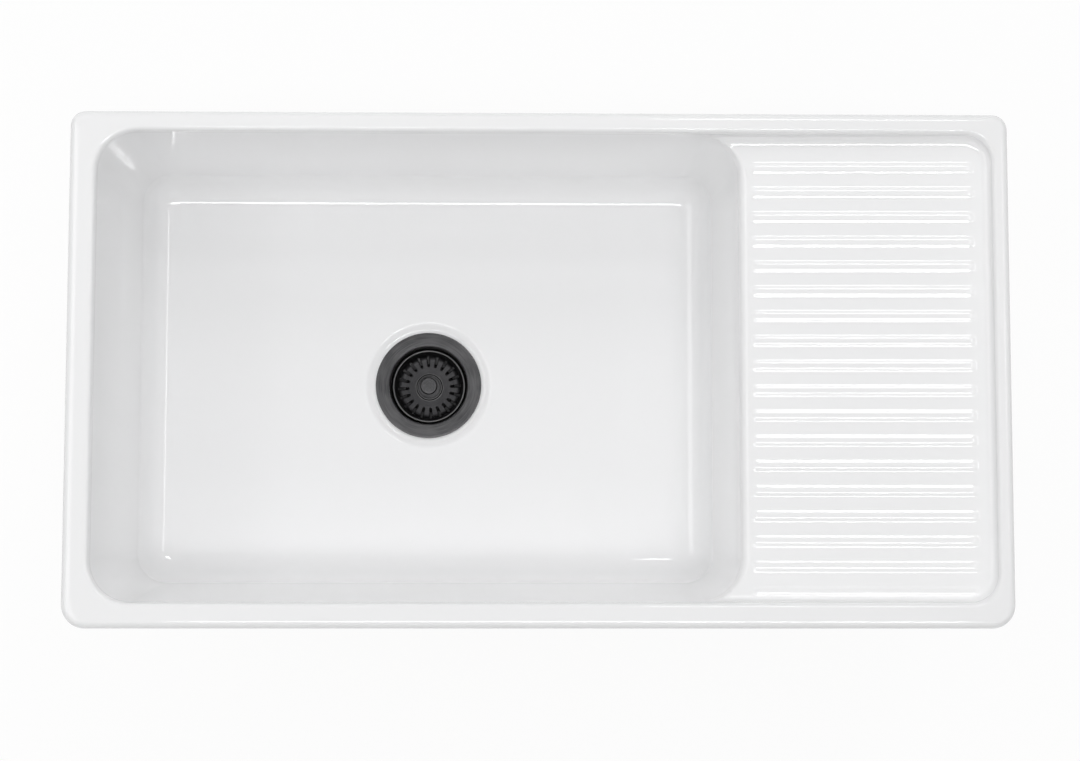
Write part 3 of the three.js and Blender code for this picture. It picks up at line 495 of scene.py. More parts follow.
def rim_rings(places):
    """Rings from the wall inside the rim, over the rim's two quarter rounds and down the outside."""
    opening_radii = np.array([BOARD_CORNER, BOARD_CORNER, BOWL_CORNER, BOWL_CORNER])
    outer_radii = np.array([FRONT_CORNER, BACK_CORNER, BACK_CORNER, FRONT_CORNER])
    wall = outline(OPENING, opening_radii, places)
    start = raised(wall, board_height(wall[:, 0]) + BOARD_RISE)
    top = raised(wall, TOP - INNER_ROUND)
    rings = [start + (top - start) * share for share in steps(0, 1, 3)]

    def inner(grow, height):
        box = inset(OPENING, -grow, -grow, -grow, -grow)
        return raised(outline(box, opening_radii + grow, places), height)

    def outer(shrink, height):
        box = inset(OUTER, shrink, shrink, shrink, shrink)
        return raised(outline(box, outer_radii - shrink, places), height)

    for angle in steps(0, QUARTER, 9)[1:]:
        rings.append(inner(INNER_ROUND * (1 - math.cos(angle)), TOP - INNER_ROUND * (1 - math.sin(angle))))
    inner_edge, outer_edge = rings[-1], outer(OUTER_ROUND, TOP)
    rings += [inner_edge + (outer_edge - inner_edge) * share for share in steps(0, 1, 5)[1:]]
    for angle in steps(0, QUARTER, 9)[1:]:
        rings.append(outer(OUTER_ROUND * (1 - math.sin(angle)), TOP - OUTER_ROUND * (1 - math.cos(angle))))
    for height in steps(TOP - OUTER_ROUND, FOOT_ROUND, 12)[1:]:
        rings.append(outer(0, height))
    for angle in steps(0, QUARTER, 6)[1:]:
        rings.append(outer(FOOT_ROUND * (1 - math.cos(angle)), FOOT_ROUND * (1 - math.sin(angle))))
    return np.array(rings)


def hollow_rings():
    """Rings of the hollow under the board, from its rounded mouth up the drafted walls and round its cove."""
    side, corner = steps(0, 1, 14, last=False), steps(0, 1, 12, last=False)
    places = [side, corner] * 4
    rings = []
    for angle in steps(0, QUARTER, 4):
        grow = HOLLOW_LIP * (1 - math.sin(angle))
        box = inset(HOLLOW, -grow, -grow, -grow, -grow)
        height = HOLLOW_LIP * (1 - math.cos(angle))
        rings.append(raised(outline(box, [HOLLOW_CORNER + grow] * 4, places), height))
    top = inset(HOLLOW, HOLLOW_DRAFT, HOLLOW_DRAFT, HOLLOW_DRAFT, HOLLOW_DRAFT)
    for angle in steps(0, QUARTER, 9):
        shrink = HOLLOW_COVE * (1 - math.cos(angle))
        box = inset(top, shrink, shrink, shrink, shrink)
        ring = outline(box, [HOLLOW_CORNER - shrink] * 4, places)
        ceiling = board_height(ring[:, 0]) - BOARD_THICKNESS
        rings.append(raised(ring, ceiling - HOLLOW_COVE * (1 - math.sin(angle))))
    return np.array(rings)


def fireclay_body():
    """The whole casting as one closed surface made of grids that share their borders."""
    patches = Patches()
    bowl = bowl_rings()
    patches.grid(bowl, closed=True)
    patches.grid(upper_wall())
    lip = lip_grid()
    patches.grid(lip)
    crest = lip[-1]
    patches.grid(board_flat(crest))
    cove = board_cove(crest)
    patches.grid(cove)
    rim = rim_rings(rim_places(cove))
    patches.grid(rim, closed=True)
    hollow = hollow_rings()
    patches.grid(hollow, closed=True)
    patches.cap([hollow[-1]])
    patches.cap([rim[-1], hollow[0], bowl[0]])
    return patches.build("fireclay_body")


body = fireclay_body()
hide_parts("sink_body")
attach(body, "root")
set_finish(body, "white_glaze")


# ---- Drain: turned and pressed pieces, all about the drain's axis ----

def sizes(node):
    """Radius, bottom and top of a turned CAD node."""
    lowest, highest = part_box(node)
    return (highest.x - lowest.x) / 2, lowest.z, highest.z


def filleted(corners, arc_steps=5):
    """A profile from corners (radius, height, rounding): each corner is replaced by a smooth curve.

    The curve is (1-t)^2 a + 2 t (1-t) c + t^2 b between points a and b, one rounding away from corner c."""
    data = np.array(corners, float)
    count = len(data)
    profile = []
    for k in range(count):
        c, size = data[k, :2], data[k, 2]
        before, after = data[k - 1, :2] - c, data[(k + 1) % count, :2] - c
        if size <= 0:
            profile.append(c[None])
            continue
        a = c + before / np.linalg.norm(before) * size
        b = c + after / np.linalg.norm(after) * size
        t = steps(0, 1, arc_steps)[:, None]
        profile.append((1 - t) ** 2 * a + 2 * t * (1 - t) * c + t ** 2 * b)
    return np.concatenate(profile)


def about_drain(radius, angles, height):
    """Points at radii and angles about the drain's axis, in radians from the right, and at heights."""
    x = DRAIN[0] + radius * np.cos(angles)
    y = DRAIN[1] + radius * np.sin(angles)
    return np.stack([x, y, np.broadcast_to(height, x.shape)], axis=-1)


def revolved(profile, angles):
    """Grid of points: a profile of (radius, height) carried round the drain's axis."""
    return about_drain(profile[:, :1], angles, profile[:, 1:2])


def round_angles(count):
    """Evenly spaced angles of a whole turn, in radians."""
    return steps(0, 2 * math.pi, count, last=False)


def turned(name, profile, closed=True):
    """A solid of revolution: a closed profile returns to its start, an open one has its ends on the axis."""
    rows = np.concatenate([profile, profile[:1]]) if closed else profile
    patches = Patches()
    patches.grid(revolved(rows, round_angles(120)), closed=True)
    return patches.build(name)


def settle(piece, node, material_slot):
    """Puts a fine piece in a CAD node's place, on that node's body and with its finish."""
    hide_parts(node)
    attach(piece, frame["nodes"][node]["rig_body"])
    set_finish(piece, material_slot)
    return piece


def arc_profile(centre, radius, start, end, count=9):
    """Points of an arc, angles in degrees."""
    angle = np.radians(steps(start, end, count))
    return np.column_stack([centre[0] + radius * np.cos(angle), centre[1] + radius * np.sin(angle)])


FLANGE_RADIUS, CUP_BOTTOM, FLANGE_TOP = sizes("strainer_body")
FLANGE_THICKNESS = 0.0016
CUP_RADIUS = 0.0415
CUP_WALL = 0.0015
CUP_CORNER = 0.009
ROLL_RADIUS = 0.003
OUTLET_RADIUS = 0.019
CUP_FLOOR = CUP_BOTTOM + CUP_WALL
THREAD_PITCH = 0.0021
THREAD_DEPTH = 0.0007
NECK_THREAD_GAP = 0.004


def threaded(rows, angles, radius, low, high, pitch=THREAD_PITCH, depth=THREAD_DEPTH):
    """Cuts a screw thread into a revolved grid, fading at both ends.

    The radius loses depth times half a cosine wave of height over pitch less the turn."""
    plan = rows[..., :2] - np.array(DRAIN)
    away = np.linalg.norm(plan, axis=-1)
    height = rows[..., 2]
    wave = 0.5 - 0.5 * np.cos(2 * math.pi * (height / pitch - angles / (2 * math.pi)))
    fade = np.clip((height - low) / pitch, 0, 1) * np.clip((high - height) / pitch, 0, 1)
    cut = np.where(np.abs(away - radius) < 1e-6, depth * wave * fade, 0)
    rows[..., :2] = np.array(DRAIN) + plan * (1 - cut / np.maximum(away, 1e-6))[..., None]
    return rows


def strainer_cup():
    """The drawn cup: threaded neck, flat flange, a roll into the cup, its corner and its floor's hole."""
    neck = CUP_RADIUS + CUP_WALL
    flange_bottom = FLANGE_TOP - FLANGE_THICKNESS
    corner = (CUP_RADIUS - CUP_CORNER, CUP_FLOOR + CUP_CORNER)
    roll = (CUP_RADIUS + ROLL_RADIUS, FLANGE_TOP - ROLL_RADIUS)
    thread_low, thread_high = corner[1], flange_bottom - NECK_THREAD_GAP
    neck_heights = steps(thread_low, thread_high, int((thread_high - thread_low) / THREAD_PITCH * 8))
    flange_radii = steps(FLANGE_RADIUS - FLANGE_THICKNESS, roll[0], 8)
    edge_round = FLANGE_THICKNESS / 2
    flange_edge = (FLANGE_RADIUS - edge_round, flange_bottom + edge_round)
    profile = np.concatenate([
        [(OUTLET_RADIUS, CUP_BOTTOM)],
        arc_profile(corner, CUP_CORNER + CUP_WALL, -90, 0, 10)[:-1],
        np.column_stack([np.full(len(neck_heights), neck), neck_heights]),
        [(neck, flange_bottom)],
        arc_profile(flange_edge, edge_round, -90, 40, 8),
        np.column_stack([flange_radii, np.full(len(flange_radii), FLANGE_TOP)])[:-1],
        arc_profile(roll, ROLL_RADIUS, 90, 180, 10),
        arc_profile(corner, CUP_CORNER, 0, -90, 12),
        [(OUTLET_RADIUS, CUP_FLOOR)],
    ])
    angles = round_angles(160)
    rows = revolved(np.concatenate([profile, profile[:1]]), angles)
    patches = Patches()
    patches.grid(threaded(rows, angles, neck, thread_low, thread_high), closed=True)
    return patches.build("strainer_cup")


def pierced(name, points, open_cells, thickness):
    """A sheet from a closed grid of points without its open cells, thickened downwards and outwards."""
    rows, columns = points.shape[:2]
    faces = np.array(grid_faces(rows, columns, closed=True)).reshape(rows - 1, columns, 4)
    sheet = shape_object(name, points.reshape(-1, 3), faces[~open_cells].tolist(), closed=False)
    wall = sheet.modifiers.new("sheet", "SOLIDIFY")
    wall.thickness = thickness
    wall.offset = 1
    wall.use_even_offset = True
    return sheet


BASKET_RADIUS, _, BASKET_TOP = sizes("basket_cup")
BASKET_SHEET = 0.001
BASKET_DEPTH = 0.017
BASKET_FLOOR = BASKET_TOP - BASKET_DEPTH
RIM_WIDTH = 0.0028
BASKET_TAPER = 0.0025
BASKET_CORNER = 0.006
BOSS_RISE = 0.0015
POST_HOLE = 0.0033
# Radius, and fall below the boss's top, from the hole out to the foot of its rounded shoulder.
BOSS_SHOULDER = np.array([
    (POST_HOLE, 0), (0.008, 0), (0.0125, 0), (0.0132, 0.0001),
    (0.0137, 0.0004), (0.0141, 0.0010), (0.0145, 0.0014), (0.0151, BOSS_RISE),
])
FLOOR_RADII = np.array([0.017, 0.019, 0.0215])
SLOT_COUNT = 20
SLOT_WIDTH = 0.0026
SLOT_RADII = np.array([0.023, 0.0250, 0.0266])
SLOT_RISE = 0.005
SLOT_TURN = math.radians(93)


def basket_shell():
    """The pressed basket: boss, floor, corner, wall and rolled rim as one sheet, its slots left open.

    Columns lie at shares of the pitch from a slot's middle. Within a slot's sides the turn is
    asin(half width / radius), so that the slot's sides run parallel."""
    wall_top = BASKET_RADIUS - RIM_WIDTH
    wall_foot = wall_top - BASKET_TAPER
    corner = (wall_foot - BASKET_CORNER, BASKET_FLOOR + BASKET_CORNER)
    roll = (wall_top + RIM_WIDTH / 2, BASKET_TOP - RIM_WIDTH / 2)
    slot_top = BASKET_FLOOR + SLOT_RISE
    half = SLOT_WIDTH / 2
    boss = np.column_stack([BOSS_SHOULDER[:, 0], BASKET_FLOOR + BOSS_RISE - BOSS_SHOULDER[:, 1]])
    floor = raised(FLOOR_RADII, BASKET_FLOOR)
    slot_floor = raised(SLOT_RADII, BASKET_FLOOR)
    bend = arc_profile(corner, BASKET_CORNER, -90, -12, 8)
    slot_start = len(boss) + len(floor)
    above = np.column_stack([
        wall_foot + BASKET_TAPER * np.array([0.25, 0.5, 0.8, 1.0]),
        slot_top + (roll[1] - slot_top) * np.array([0.25, 0.5, 0.8, 1.0]),
    ])
    rim = arc_profile(roll, RIM_WIDTH / 2, 180, -60, 14)[1:]
    profile = np.concatenate([boss, floor, slot_floor, bend, above, rim])
    slot_end = slot_start + len(slot_floor) + len(bend) - 1
    inside = np.array([-1, -0.6, 0, 0.6, 1])
    between = steps(0, 1, 7)[1:-1]
    pitch = 2 * math.pi / SLOT_COUNT
    radius = profile[:, :1]
    edge = np.arcsin(np.minimum(half / radius, 0.1))
    turn = np.concatenate([edge * inside, edge + (pitch - 2 * edge) * between], axis=1)
    angles = SLOT_TURN + pitch * np.arange(SLOT_COUNT)[None, :, None] + turn[:, None, :]
    angles = angles.reshape(len(profile), -1)
    radii = np.broadcast_to(radius, angles.shape).copy()
    columns = angles.shape[1]
    bulge = np.concatenate([half * (1 - np.sqrt(1 - inside ** 2)), np.zeros(len(between))])
    bulge[len(inside):] += half
    radii[slot_start] += np.tile(bulge, SLOT_COUNT)
    heights = np.broadcast_to(profile[:, 1:2], angles.shape)
    open_cells = np.zeros((len(profile) - 1, columns), bool)
    in_slot = np.tile(np.arange(len(inside) + len(between)) < len(inside) - 1, SLOT_COUNT)
    open_cells[slot_start:slot_end] = in_slot
    return pierced("slotted_basket", about_drain(radii, angles, heights), open_cells, BASKET_SHEET)


def upright(radius, start, end, count):
    """Points of a profile along a straight upright wall."""
    heights = steps(start, end, count)
    return np.column_stack([np.full(count, radius), heights])


def ring(node, inner, rounding, name, material_slot):
    """A flat ring in a CAD node's place: its outside and heights are the node's, its edges are rounded."""
    radius, low, high = sizes(node)
    corners = ((inner, low), (radius, low), (radius, high), (inner, high))
    profile = filleted([(*corner, rounding) for corner in corners])
    return settle(turned(name, profile), node, material_slot)


LUG_FOOT, LUG_BACK = 0.012, 0.004


def lug_nut(node, bore, outside, collar, lug, lip=None):
    """A ring nut with lugs round its wall and a collar on top, which is a height and a width.

    lug is a count and a width. Columns on a lug's back have their radius raised to the node's, all others
    keep the wall's. A lip is a narrower bore and the height it reaches up to from below."""
    reach, low, high = sizes(node)
    collar_height, collar_width = collar
    lugs, lug_width = lug
    pitch = 2 * math.pi / lugs
    edge = lug_width / 2 / reach
    foot, back = edge + LUG_FOOT, edge - LUG_BACK
    turn = np.concatenate([[-foot, -back, 0, back, foot], steps(foot, pitch - foot, 12)[1:-1]])
    on_back = np.tile(np.isin(np.arange(len(turn)), (1, 2, 3)), lugs)
    angles = (pitch * np.arange(lugs)[:, None] + turn).ravel()
    under_collar = high - collar_height
    collar_edge = outside + collar_width
    # Radius, height, and the share of the lugs' reach that a lug's columns add.
    profile = [
        (bore, low, 0), (outside, low, 0), (outside, low, 1), (outside, under_collar, 1),
        (outside, under_collar, 0), (collar_edge, under_collar, 0), (collar_edge, high, 0),
        (bore, high, 0), (bore, low, 0),
    ]
    if lip:
        lip_bore, lip_top = lip
        profile[0] = (lip_bore, low, 0)
        profile[-1:] = [(bore, lip_top, 0), (lip_bore, lip_top, 0), (lip_bore, low, 0)]
    rows = np.array(profile)
    radius = rows[:, :1] + rows[:, 2:] * on_back * (reach - outside)
    patches = Patches()
    patches.grid(about_drain(radius, angles, rows[:, 1:2]), closed=True)
    nut = patches.build(NUT_NAMES[node])
    edges = nut.modifiers.new("edges", "BEVEL")
    edges.width = 0.0005
    edges.segments = 2
    edges.limit_method = "ANGLE"
    edges.angle_limit = math.radians(35)
    return settle(nut, node, "zinc_casting")


NUT_NAMES = {"locknut": "lugged_ring_nut", "coupling_nut": "slip_nut"}
NECK = CUP_RADIUS + CUP_WALL
GAP = 0.0003
settle(strainer_cup(), "strainer_body", "gunmetal")
settle(basket_shell(), "basket_cup", "basket_steel")
ring("flange_gasket", NECK + 0.0015, 0.0004, "foam_ring", "foam_gasket")
ring("sealing_washer", NECK + GAP, 0.0005, "rubber_ring", "black_rubber")
ring("friction_ring", NECK + GAP, 0.0002, "fibre_ring", "fibre_ring")
lug_nut("locknut", NECK + GAP, NECK + GAP + 0.0055, (0.0025, 0.0045), (8, 0.009))


# ---- Outlet and tailpiece ----

OUTLET_THREAD = 0.02225
OUTLET_LEDGE = 0.0016
OUTLET_COLLAR = 0.0015
TUBE_BORE = 0.01785
TUBE_RADIUS = 0.01905
CROSS_ARM = 0.0036


def threaded_outlet():
    """The ferrule: a ledge inside for the cross, a thread outside, a collar under the cup."""
    collar, low, high = sizes("outlet_ferrule")
    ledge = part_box("outlet_cross")[0].z - GAP
    narrow = OUTLET_RADIUS - OUTLET_LEDGE
    under_collar = high - OUTLET_COLLAR
    chamfer = 0.0004
    profile = np.concatenate([
        [(narrow, low + chamfer), (narrow + chamfer, low)],
        upright(OUTLET_THREAD, low, under_collar, int((under_collar - low) / THREAD_PITCH * 8)),
        [(collar, under_collar), (collar, high), (OUTLET_RADIUS, high)],
        [(OUTLET_RADIUS, ledge), (narrow, ledge)],
    ])
    angles = round_angles(120)
    rows = revolved(np.concatenate([profile, profile[:1]]), angles)
    patches = Patches()
    patches.grid(threaded(rows, angles, OUTLET_THREAD, low, under_collar - 0.001), closed=True)
    return patches.build("threaded_outlet")


def stamped_cross():
    """Hub, four arms and a ring from one flat sheet: a polar grid without the cells of its windows."""
    outside, low, high = sizes("outlet_cross")
    arms = 4
    pitch = 2 * math.pi / arms
    hub, window = [0.0057, 0.0065, 0.0080], [0.0090, 0.0110, 0.0140, outside - 0.0024]
    radii = np.array(hub + window + [outside - 0.0012, outside])[:, None]
    edge = np.arcsin(CROSS_ARM / 2 / radii)
    arm, window_turn = edge * np.array([-1, 0, 1]), edge + (pitch - 2 * edge) * steps(0, 1, 20)[1:-1]
    turn = np.concatenate([arm, window_turn], axis=1)
    angles = (pitch * np.arange(arms)[None, :, None] + turn[:, None, :]).reshape(len(radii), -1)
    open_cells = np.zeros((len(radii) - 1, angles.shape[1]), bool)
    open_cells[len(hub):len(hub + window) - 1] = np.tile(np.arange(turn.shape[1]) >= 2, arms)
    return pierced("stamped_cross", about_drain(radii, angles, high), open_cells, high - low)


def waste_tube():
    """The tailpiece: a thin tube whose top is turned out to a lip."""
    lip, low, high = sizes("tailpiece")
    under_lip = high - 0.0015
    return turned("waste_tube", filleted([
        (TUBE_BORE, low, 0.0003), (TUBE_RADIUS, low, 0.0003), (TUBE_RADIUS, under_lip, 0.0008),
        (lip, under_lip, 0.0004), (lip, high, 0.0004), (TUBE_BORE, high, 0.0010),
    ], 4))


settle(threaded_outlet(), "outlet_ferrule", "brass_outlet")
settle(stamped_cross(), "outlet_cross", "basket_steel")
ring("tailpiece_washer", TUBE_BORE + GAP, 0.0003, "plastic_ring", "white_washer")
settle(waste_tube(), "tailpiece", "gunmetal")
COUPLING_BORE = OUTLET_THREAD + GAP
coupling_lip = (TUBE_RADIUS + GAP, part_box("coupling_nut")[0].z + 0.003)
lug_nut("coupling_nut", COUPLING_BORE, COUPLING_BORE + 0.0034, (0.003, 0.0015), (6, 0.008), coupling_lip)


# ---- Basket's knob, post and stopper ----

KNOB_HEAD = 0.0094
KNOB_HEAD_HEIGHT = 0.003
KNOB_NECK = 0.005
KNOB_BORE_DEPTH = 0.012


def mushroom_knob():
    """The pull: a flared foot on the boss, a waist, and a flat round head whose side leans inwards."""
    foot_radius, foot, top = sizes("basket_knob")
    bore_top = foot + KNOB_BORE_DEPTH
    under_head = top - KNOB_HEAD_HEIGHT
    return turned("mushroom_knob", filleted([
        (0, bore_top, 0), (POST_HOLE, bore_top, 0.0003), (POST_HOLE, foot, 0.0003),
        (foot_radius, foot, 0.0003), (foot_radius, foot + 0.001, 0.0005),
        (KNOB_NECK + 0.002, foot + 0.0024, 0.0015), (KNOB_NECK, foot + 0.006, 0.0016),
        (KNOB_NECK, under_head - 0.0012, 0.0012), (KNOB_HEAD - 0.0004, under_head, 0.0005),
        (KNOB_HEAD, under_head + 0.0006, 0.0003), (KNOB_HEAD - 0.0010, top, 0.0004), (0, top, 0),
    ]), closed=False)


POST_RADIUS = 0.003
POST_COLLAR = 0.007
POST_THREAD_PITCH = 0.001
POST_THREAD_DEPTH = 0.0003


def turned_post():
    """The post: plain in the knob, a collar between basket and stopper, a fine thread below."""
    _, low, high = sizes("basket_post")
    collar_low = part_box("basket_stopper")[1].z + GAP
    collar_high = BASKET_FLOOR + BOSS_RISE - BASKET_SHEET - GAP
    tip, chamfer = 0.0006, 0.0003
    thread_rows = int((collar_low - low) / POST_THREAD_PITCH * 6)
    profile = np.concatenate([
        [(0, low), (POST_RADIUS - tip, low)],
        upright(POST_RADIUS, low + tip, collar_low, thread_rows),
        [(POST_COLLAR - chamfer, collar_low), (POST_COLLAR, collar_low + chamfer)],
        [(POST_COLLAR, collar_high - chamfer), (POST_COLLAR - chamfer, collar_high)],
        [(POST_RADIUS, collar_high), (POST_RADIUS - 0.0001, high - 0.0004)],
        [(POST_RADIUS - 0.0005, high), (0, high)],
    ])
    angles = round_angles(40)
    rows = revolved(profile, angles)
    thread = (POST_RADIUS, low, collar_low - 0.002, POST_THREAD_PITCH, POST_THREAD_DEPTH)
    patches = Patches()
    patches.grid(threaded(rows, angles, *thread), closed=True)
    return patches.build("turned_post")


def rubber_stopper():
    """The stopper disc: domed above, with a sealing lip round its lower edge."""
    radius, low, high = sizes("basket_stopper")
    hub = low + 0.0012
    return turned("rubber_stopper", filleted([
        (POST_HOLE, hub, 0.0002), (radius - 0.004, hub, 0.0005), (radius - 0.003, low, 0.0005),
        (radius - 0.0004, low, 0.0003), (radius, low + 0.0008, 0.0005),
        (radius - 0.0012, high - 0.0012, 0.001), (radius - 0.006, high, 0.002), (POST_HOLE, high, 0.0002),
    ]))


NUT_WIDTH = 0.008
NUT_CHAMFER = 0.0004


def hexagon_nut():
    """The nut: its radius is half the width over the cosine of the turn from a flat's middle."""
    _, low, high = sizes("post_nut")
    angles = round_angles(72)
    from_flat = (angles + math.pi / 6) % (math.pi / 3) - math.pi / 6
    flats = NUT_WIDTH / 2 / np.cos(from_flat)
    corner = NUT_WIDTH / 2 / math.cos(math.pi / 6)
    face = np.minimum(flats, corner - NUT_CHAMFER)
    bore = np.full(len(angles), POST_HOLE)
    radii = np.array([bore, face, flats, flats, face, bore, bore])
    heights = np.array([low, low, low + NUT_CHAMFER, high - NUT_CHAMFER, high, high, low])
    patches = Patches()
    patches.grid(about_drain(radii, angles + QUARTER, heights[:, None]), closed=True)
    return patches.build("hexagon_nut")


SLEEVE_SHEET = 0.0008
SLEEVE_SLITS = 6
SLIT_HALF_TURN = 0.06


def spring_sleeve():
    """The clip: a slit sleeve whose radius swells as a squared sine over its length."""
    bulge, low, high = sizes("post_clip")
    share = steps(0, 1, 22)[:, None]
    radii = POST_HOLE + (bulge - SLEEVE_SHEET - POST_HOLE) * np.sin(math.pi * share) ** 2
    pitch = 2 * math.pi / SLEEVE_SLITS
    slit = np.array([-SLIT_HALF_TURN, SLIT_HALF_TURN])
    turn = np.concatenate([slit, steps(SLIT_HALF_TURN, pitch - SLIT_HALF_TURN, 9)[1:-1]])
    angles = (pitch * np.arange(SLEEVE_SLITS)[:, None] + turn).ravel()
    open_cells = np.zeros((len(share) - 1, len(angles)), bool)
    open_cells[4:-4] = np.tile(np.arange(len(turn)) < 1, SLEEVE_SLITS)
    points = about_drain(radii, angles, low + (high - low) * share)
    return pierced("spring_sleeve", points, open_cells, SLEEVE_SHEET)


settle(mushroom_knob(), "basket_knob", "gunmetal")
settle(turned_post(), "basket_post", "basket_steel")
settle(rubber_stopper(), "basket_stopper", "black_rubber")
ring("stopper_washer", POST_HOLE, 0.0002, "stopper_ring", "basket_steel")
settle(hexagon_nut(), "post_nut", "basket_steel")
settle(spring_sleeve(), "post_clip", "basket_steel")


# ---- Finishes ----

class Finish:
    """A material whose nodes are wired here; its patterns follow the object's own coordinates."""

    def __init__(self, name, colour, metallic=0.0):
        self.material = bpy.data.materials.new(name)
        self.material.use_nodes = True
        self.tree = self.material.node_tree
        self.surface = self.tree.nodes["Principled BSDF"]
        self.surface.inputs["Base Color"].default_value = (*colour, 1)
        self.surface.inputs["Metallic"].default_value = metallic
        self.place = self.node("TexCoord").outputs["Object"]

    def node(self, kind, inputs=None, **settings):
        """A new node; inputs are numbers, vectors or other nodes' outputs, by socket name or number."""
        made = self.tree.nodes.new("ShaderNode" + kind)
        for name, value in settings.items():
            setattr(made, name, value)
        for name, value in (inputs or {}).items():
            self.feed(made.inputs[name], value)
        return made

    def feed(self, socket, value):
        if isinstance(value, bpy.types.NodeSocket):
            self.tree.links.new(value, socket)
        else:
            socket.default_value = value

    def noise(self, scale, detail=3.0, vector=None):
        """Random values about 0.5 that change over one part in scale of a metre."""
        inputs = {"Vector": vector or self.place, "Scale": scale, "Detail": detail}
        return self.node("TexNoise", inputs).outputs["Fac"]

    def spread(self, value, low, high, start=0.3, end=0.7):
        """Carries values between start and end over to low and high."""
        inputs = {"Value": value, "From Min": start, "From Max": end, "To Min": low, "To Max": high}
        return self.node("MapRange", inputs).outputs["Result"]

    def blend(self, share, first, second):
        """A colour from first to second; either may be another node's colour."""
        first, second = (
            value if isinstance(value, bpy.types.NodeSocket) else (*value, 1) for value in (first, second)
        )
        return self.node("Mix", {0: share, 6: first, 7: second}, data_type="RGBA").outputs[2]

    def reckon(self, operation, first, second=0.0):
        """One step of arithmetic on numbers or other nodes' outputs."""
        return self.node("Math", {0: first, 1: second}, operation=operation).outputs[0]

    def from_drain(self):
        """The way out from the drain's axis, and the height."""
        shift = self.node("Mapping", {"Vector": self.place, "Location": (-DRAIN[0], -DRAIN[1], 0)}).outputs[0]
        flat = self.node("VectorMath", {0: shift, 1: (1, 1, 0)}, operation="MULTIPLY").outputs[0]
        return flat, self.node("SeparateXYZ", {0: shift}).outputs["Z"]

    def length(self, vector):
        return self.node("VectorMath", {0: vector}, operation="LENGTH").outputs["Value"]

    def round_drain(self, along, across, down):
        """Coordinates that draw a pattern out along circles about the drain: unit direction times along,
        with radius times across plus height times down in the third place."""
        flat, height = self.from_drain()
        way = self.node("VectorMath", {0: flat}, operation="NORMALIZE").outputs[0]
        split = self.node("SeparateXYZ", {0: way})
        outward = self.reckon("MULTIPLY", self.length(flat), across)
        third = self.reckon("ADD", outward, self.reckon("MULTIPLY", height, down))
        x = self.reckon("MULTIPLY", split.outputs["X"], along)
        y = self.reckon("MULTIPLY", split.outputs["Y"], along)
        return self.node("CombineXYZ", {"X": x, "Y": y, "Z": third}).outputs[0]

    def colour(self, value):
        self.feed(self.surface.inputs["Base Color"], value)

    def roughness(self, value):
        self.feed(self.surface.inputs["Roughness"], value)

    def bump(self, height, depth, strength=1.0):
        """Depth is the height difference in metres between values 0 and 1."""
        inputs = {"Height": height, "Distance": depth, "Strength": strength}
        self.feed(self.surface.inputs["Normal"], self.node("Bump", inputs).outputs["Normal"])


GLAZE_INDEX = 1.65


def glaze():
    """White glaze: glassy, faintly uneven in tint and level, and bare fired clay under the foot."""
    made = Finish("white_glaze", (0.946, 0.947, 0.952))
    made.surface.inputs["IOR"].default_value = GLAZE_INDEX
    broad = made.noise(5, 2)
    tint = made.blend(made.spread(broad, 0, 1), (0.942, 0.943, 0.949), (0.950, 0.951, 0.955))
    clay = made.blend(made.spread(made.noise(160, 4), 0, 1), (0.62, 0.55, 0.46), (0.72, 0.66, 0.57))
    height = made.node("SeparateXYZ", {0: made.place}).outputs["Z"]
    wander = made.spread(made.noise(30), -0.0008, 0.0008, 0, 1)
    level = made.reckon("ADD", height, wander)
    bare = made.spread(level, 1, 0, 0.0016, 0.0026)
    made.colour(made.blend(bare, tint, clay))
    polish = made.spread(made.noise(9), 0.05, 0.08)
    made.roughness(made.node("Mix", {0: bare, 2: polish, 3: 0.9}).outputs[0])
    made.bump(made.noise(10, 1), 0.00003)
    return made.material


# A lighter grey painted on the basket's edges as highlight lines.
PAINTED_HIGHLIGHT_GREY = (0.16, 0.16, 0.16)
# Painted highlight bands on the boss's foot and shoulder and on the rolled rim: radius and half width.
PAINTED_HIGHLIGHT_BANDS = ((0.0148, 0.0005), (0.0131, 0.0004), (BASKET_RADIUS - RIM_WIDTH / 2, 0.0011))


def brushed(name, dark, light, low, high, down, edges=()):
    """Metal brushed in circles: fine streaks round the drain over broad lighter and darker patches.

    low and high bound the roughness, and down is how fast streaks change with height. edges holds radii about
    the drain at which a lighter band is painted on as a highlight line, with the band's half width."""
    made = Finish(name, light, metallic=1.0)
    streaks = made.noise(1, 4, made.round_drain(2.5, 900, down))
    patch = made.noise(40, 2)
    both = made.node("Mix", {0: 0.4, 2: streaks, 3: patch}).outputs[0]
    tone = made.blend(made.spread(both, 0, 1, 0.35, 0.65), dark, light)
    # Bands of lighter grey painted at these radii as highlight lines.
    for radius, half_width in edges:
        off = made.reckon("ABSOLUTE", made.reckon("SUBTRACT", made.length(made.from_drain()[0]), radius))
        tone = made.blend(made.spread(off, 0.8, 0, half_width / 3, half_width), tone, PAINTED_HIGHLIGHT_GREY)
    made.colour(tone)
    made.roughness(made.spread(streaks, low, high))
    made.bump(streaks, 0.00006)
    return made.material


def cast_metal():
    """Zinc casting: grainy skin, dulled in patches."""
    made = Finish("zinc_casting", (0.42, 0.42, 0.43), metallic=1.0)
    grain = made.noise(1400, 4)
    made.colour(made.blend(made.spread(made.noise(90), 0, 1), (0.30, 0.30, 0.31), (0.46, 0.46, 0.47)))
    made.roughness(made.spread(grain, 0.42, 0.62))
    made.bump(grain, 0.0001)
    return made.material


def rubber(name, dark, light, grain_scale):
    """A dull, finely grained stuff: rubber, foam, fibre or plastic."""
    made = Finish(name, dark)
    grain = made.noise(grain_scale, 3)
    made.colour(made.blend(made.spread(made.noise(120), 0, 1), dark, light))
    made.roughness(made.spread(grain, 0.6, 0.8))
    made.bump(grain, 0.00005)
    return made.material


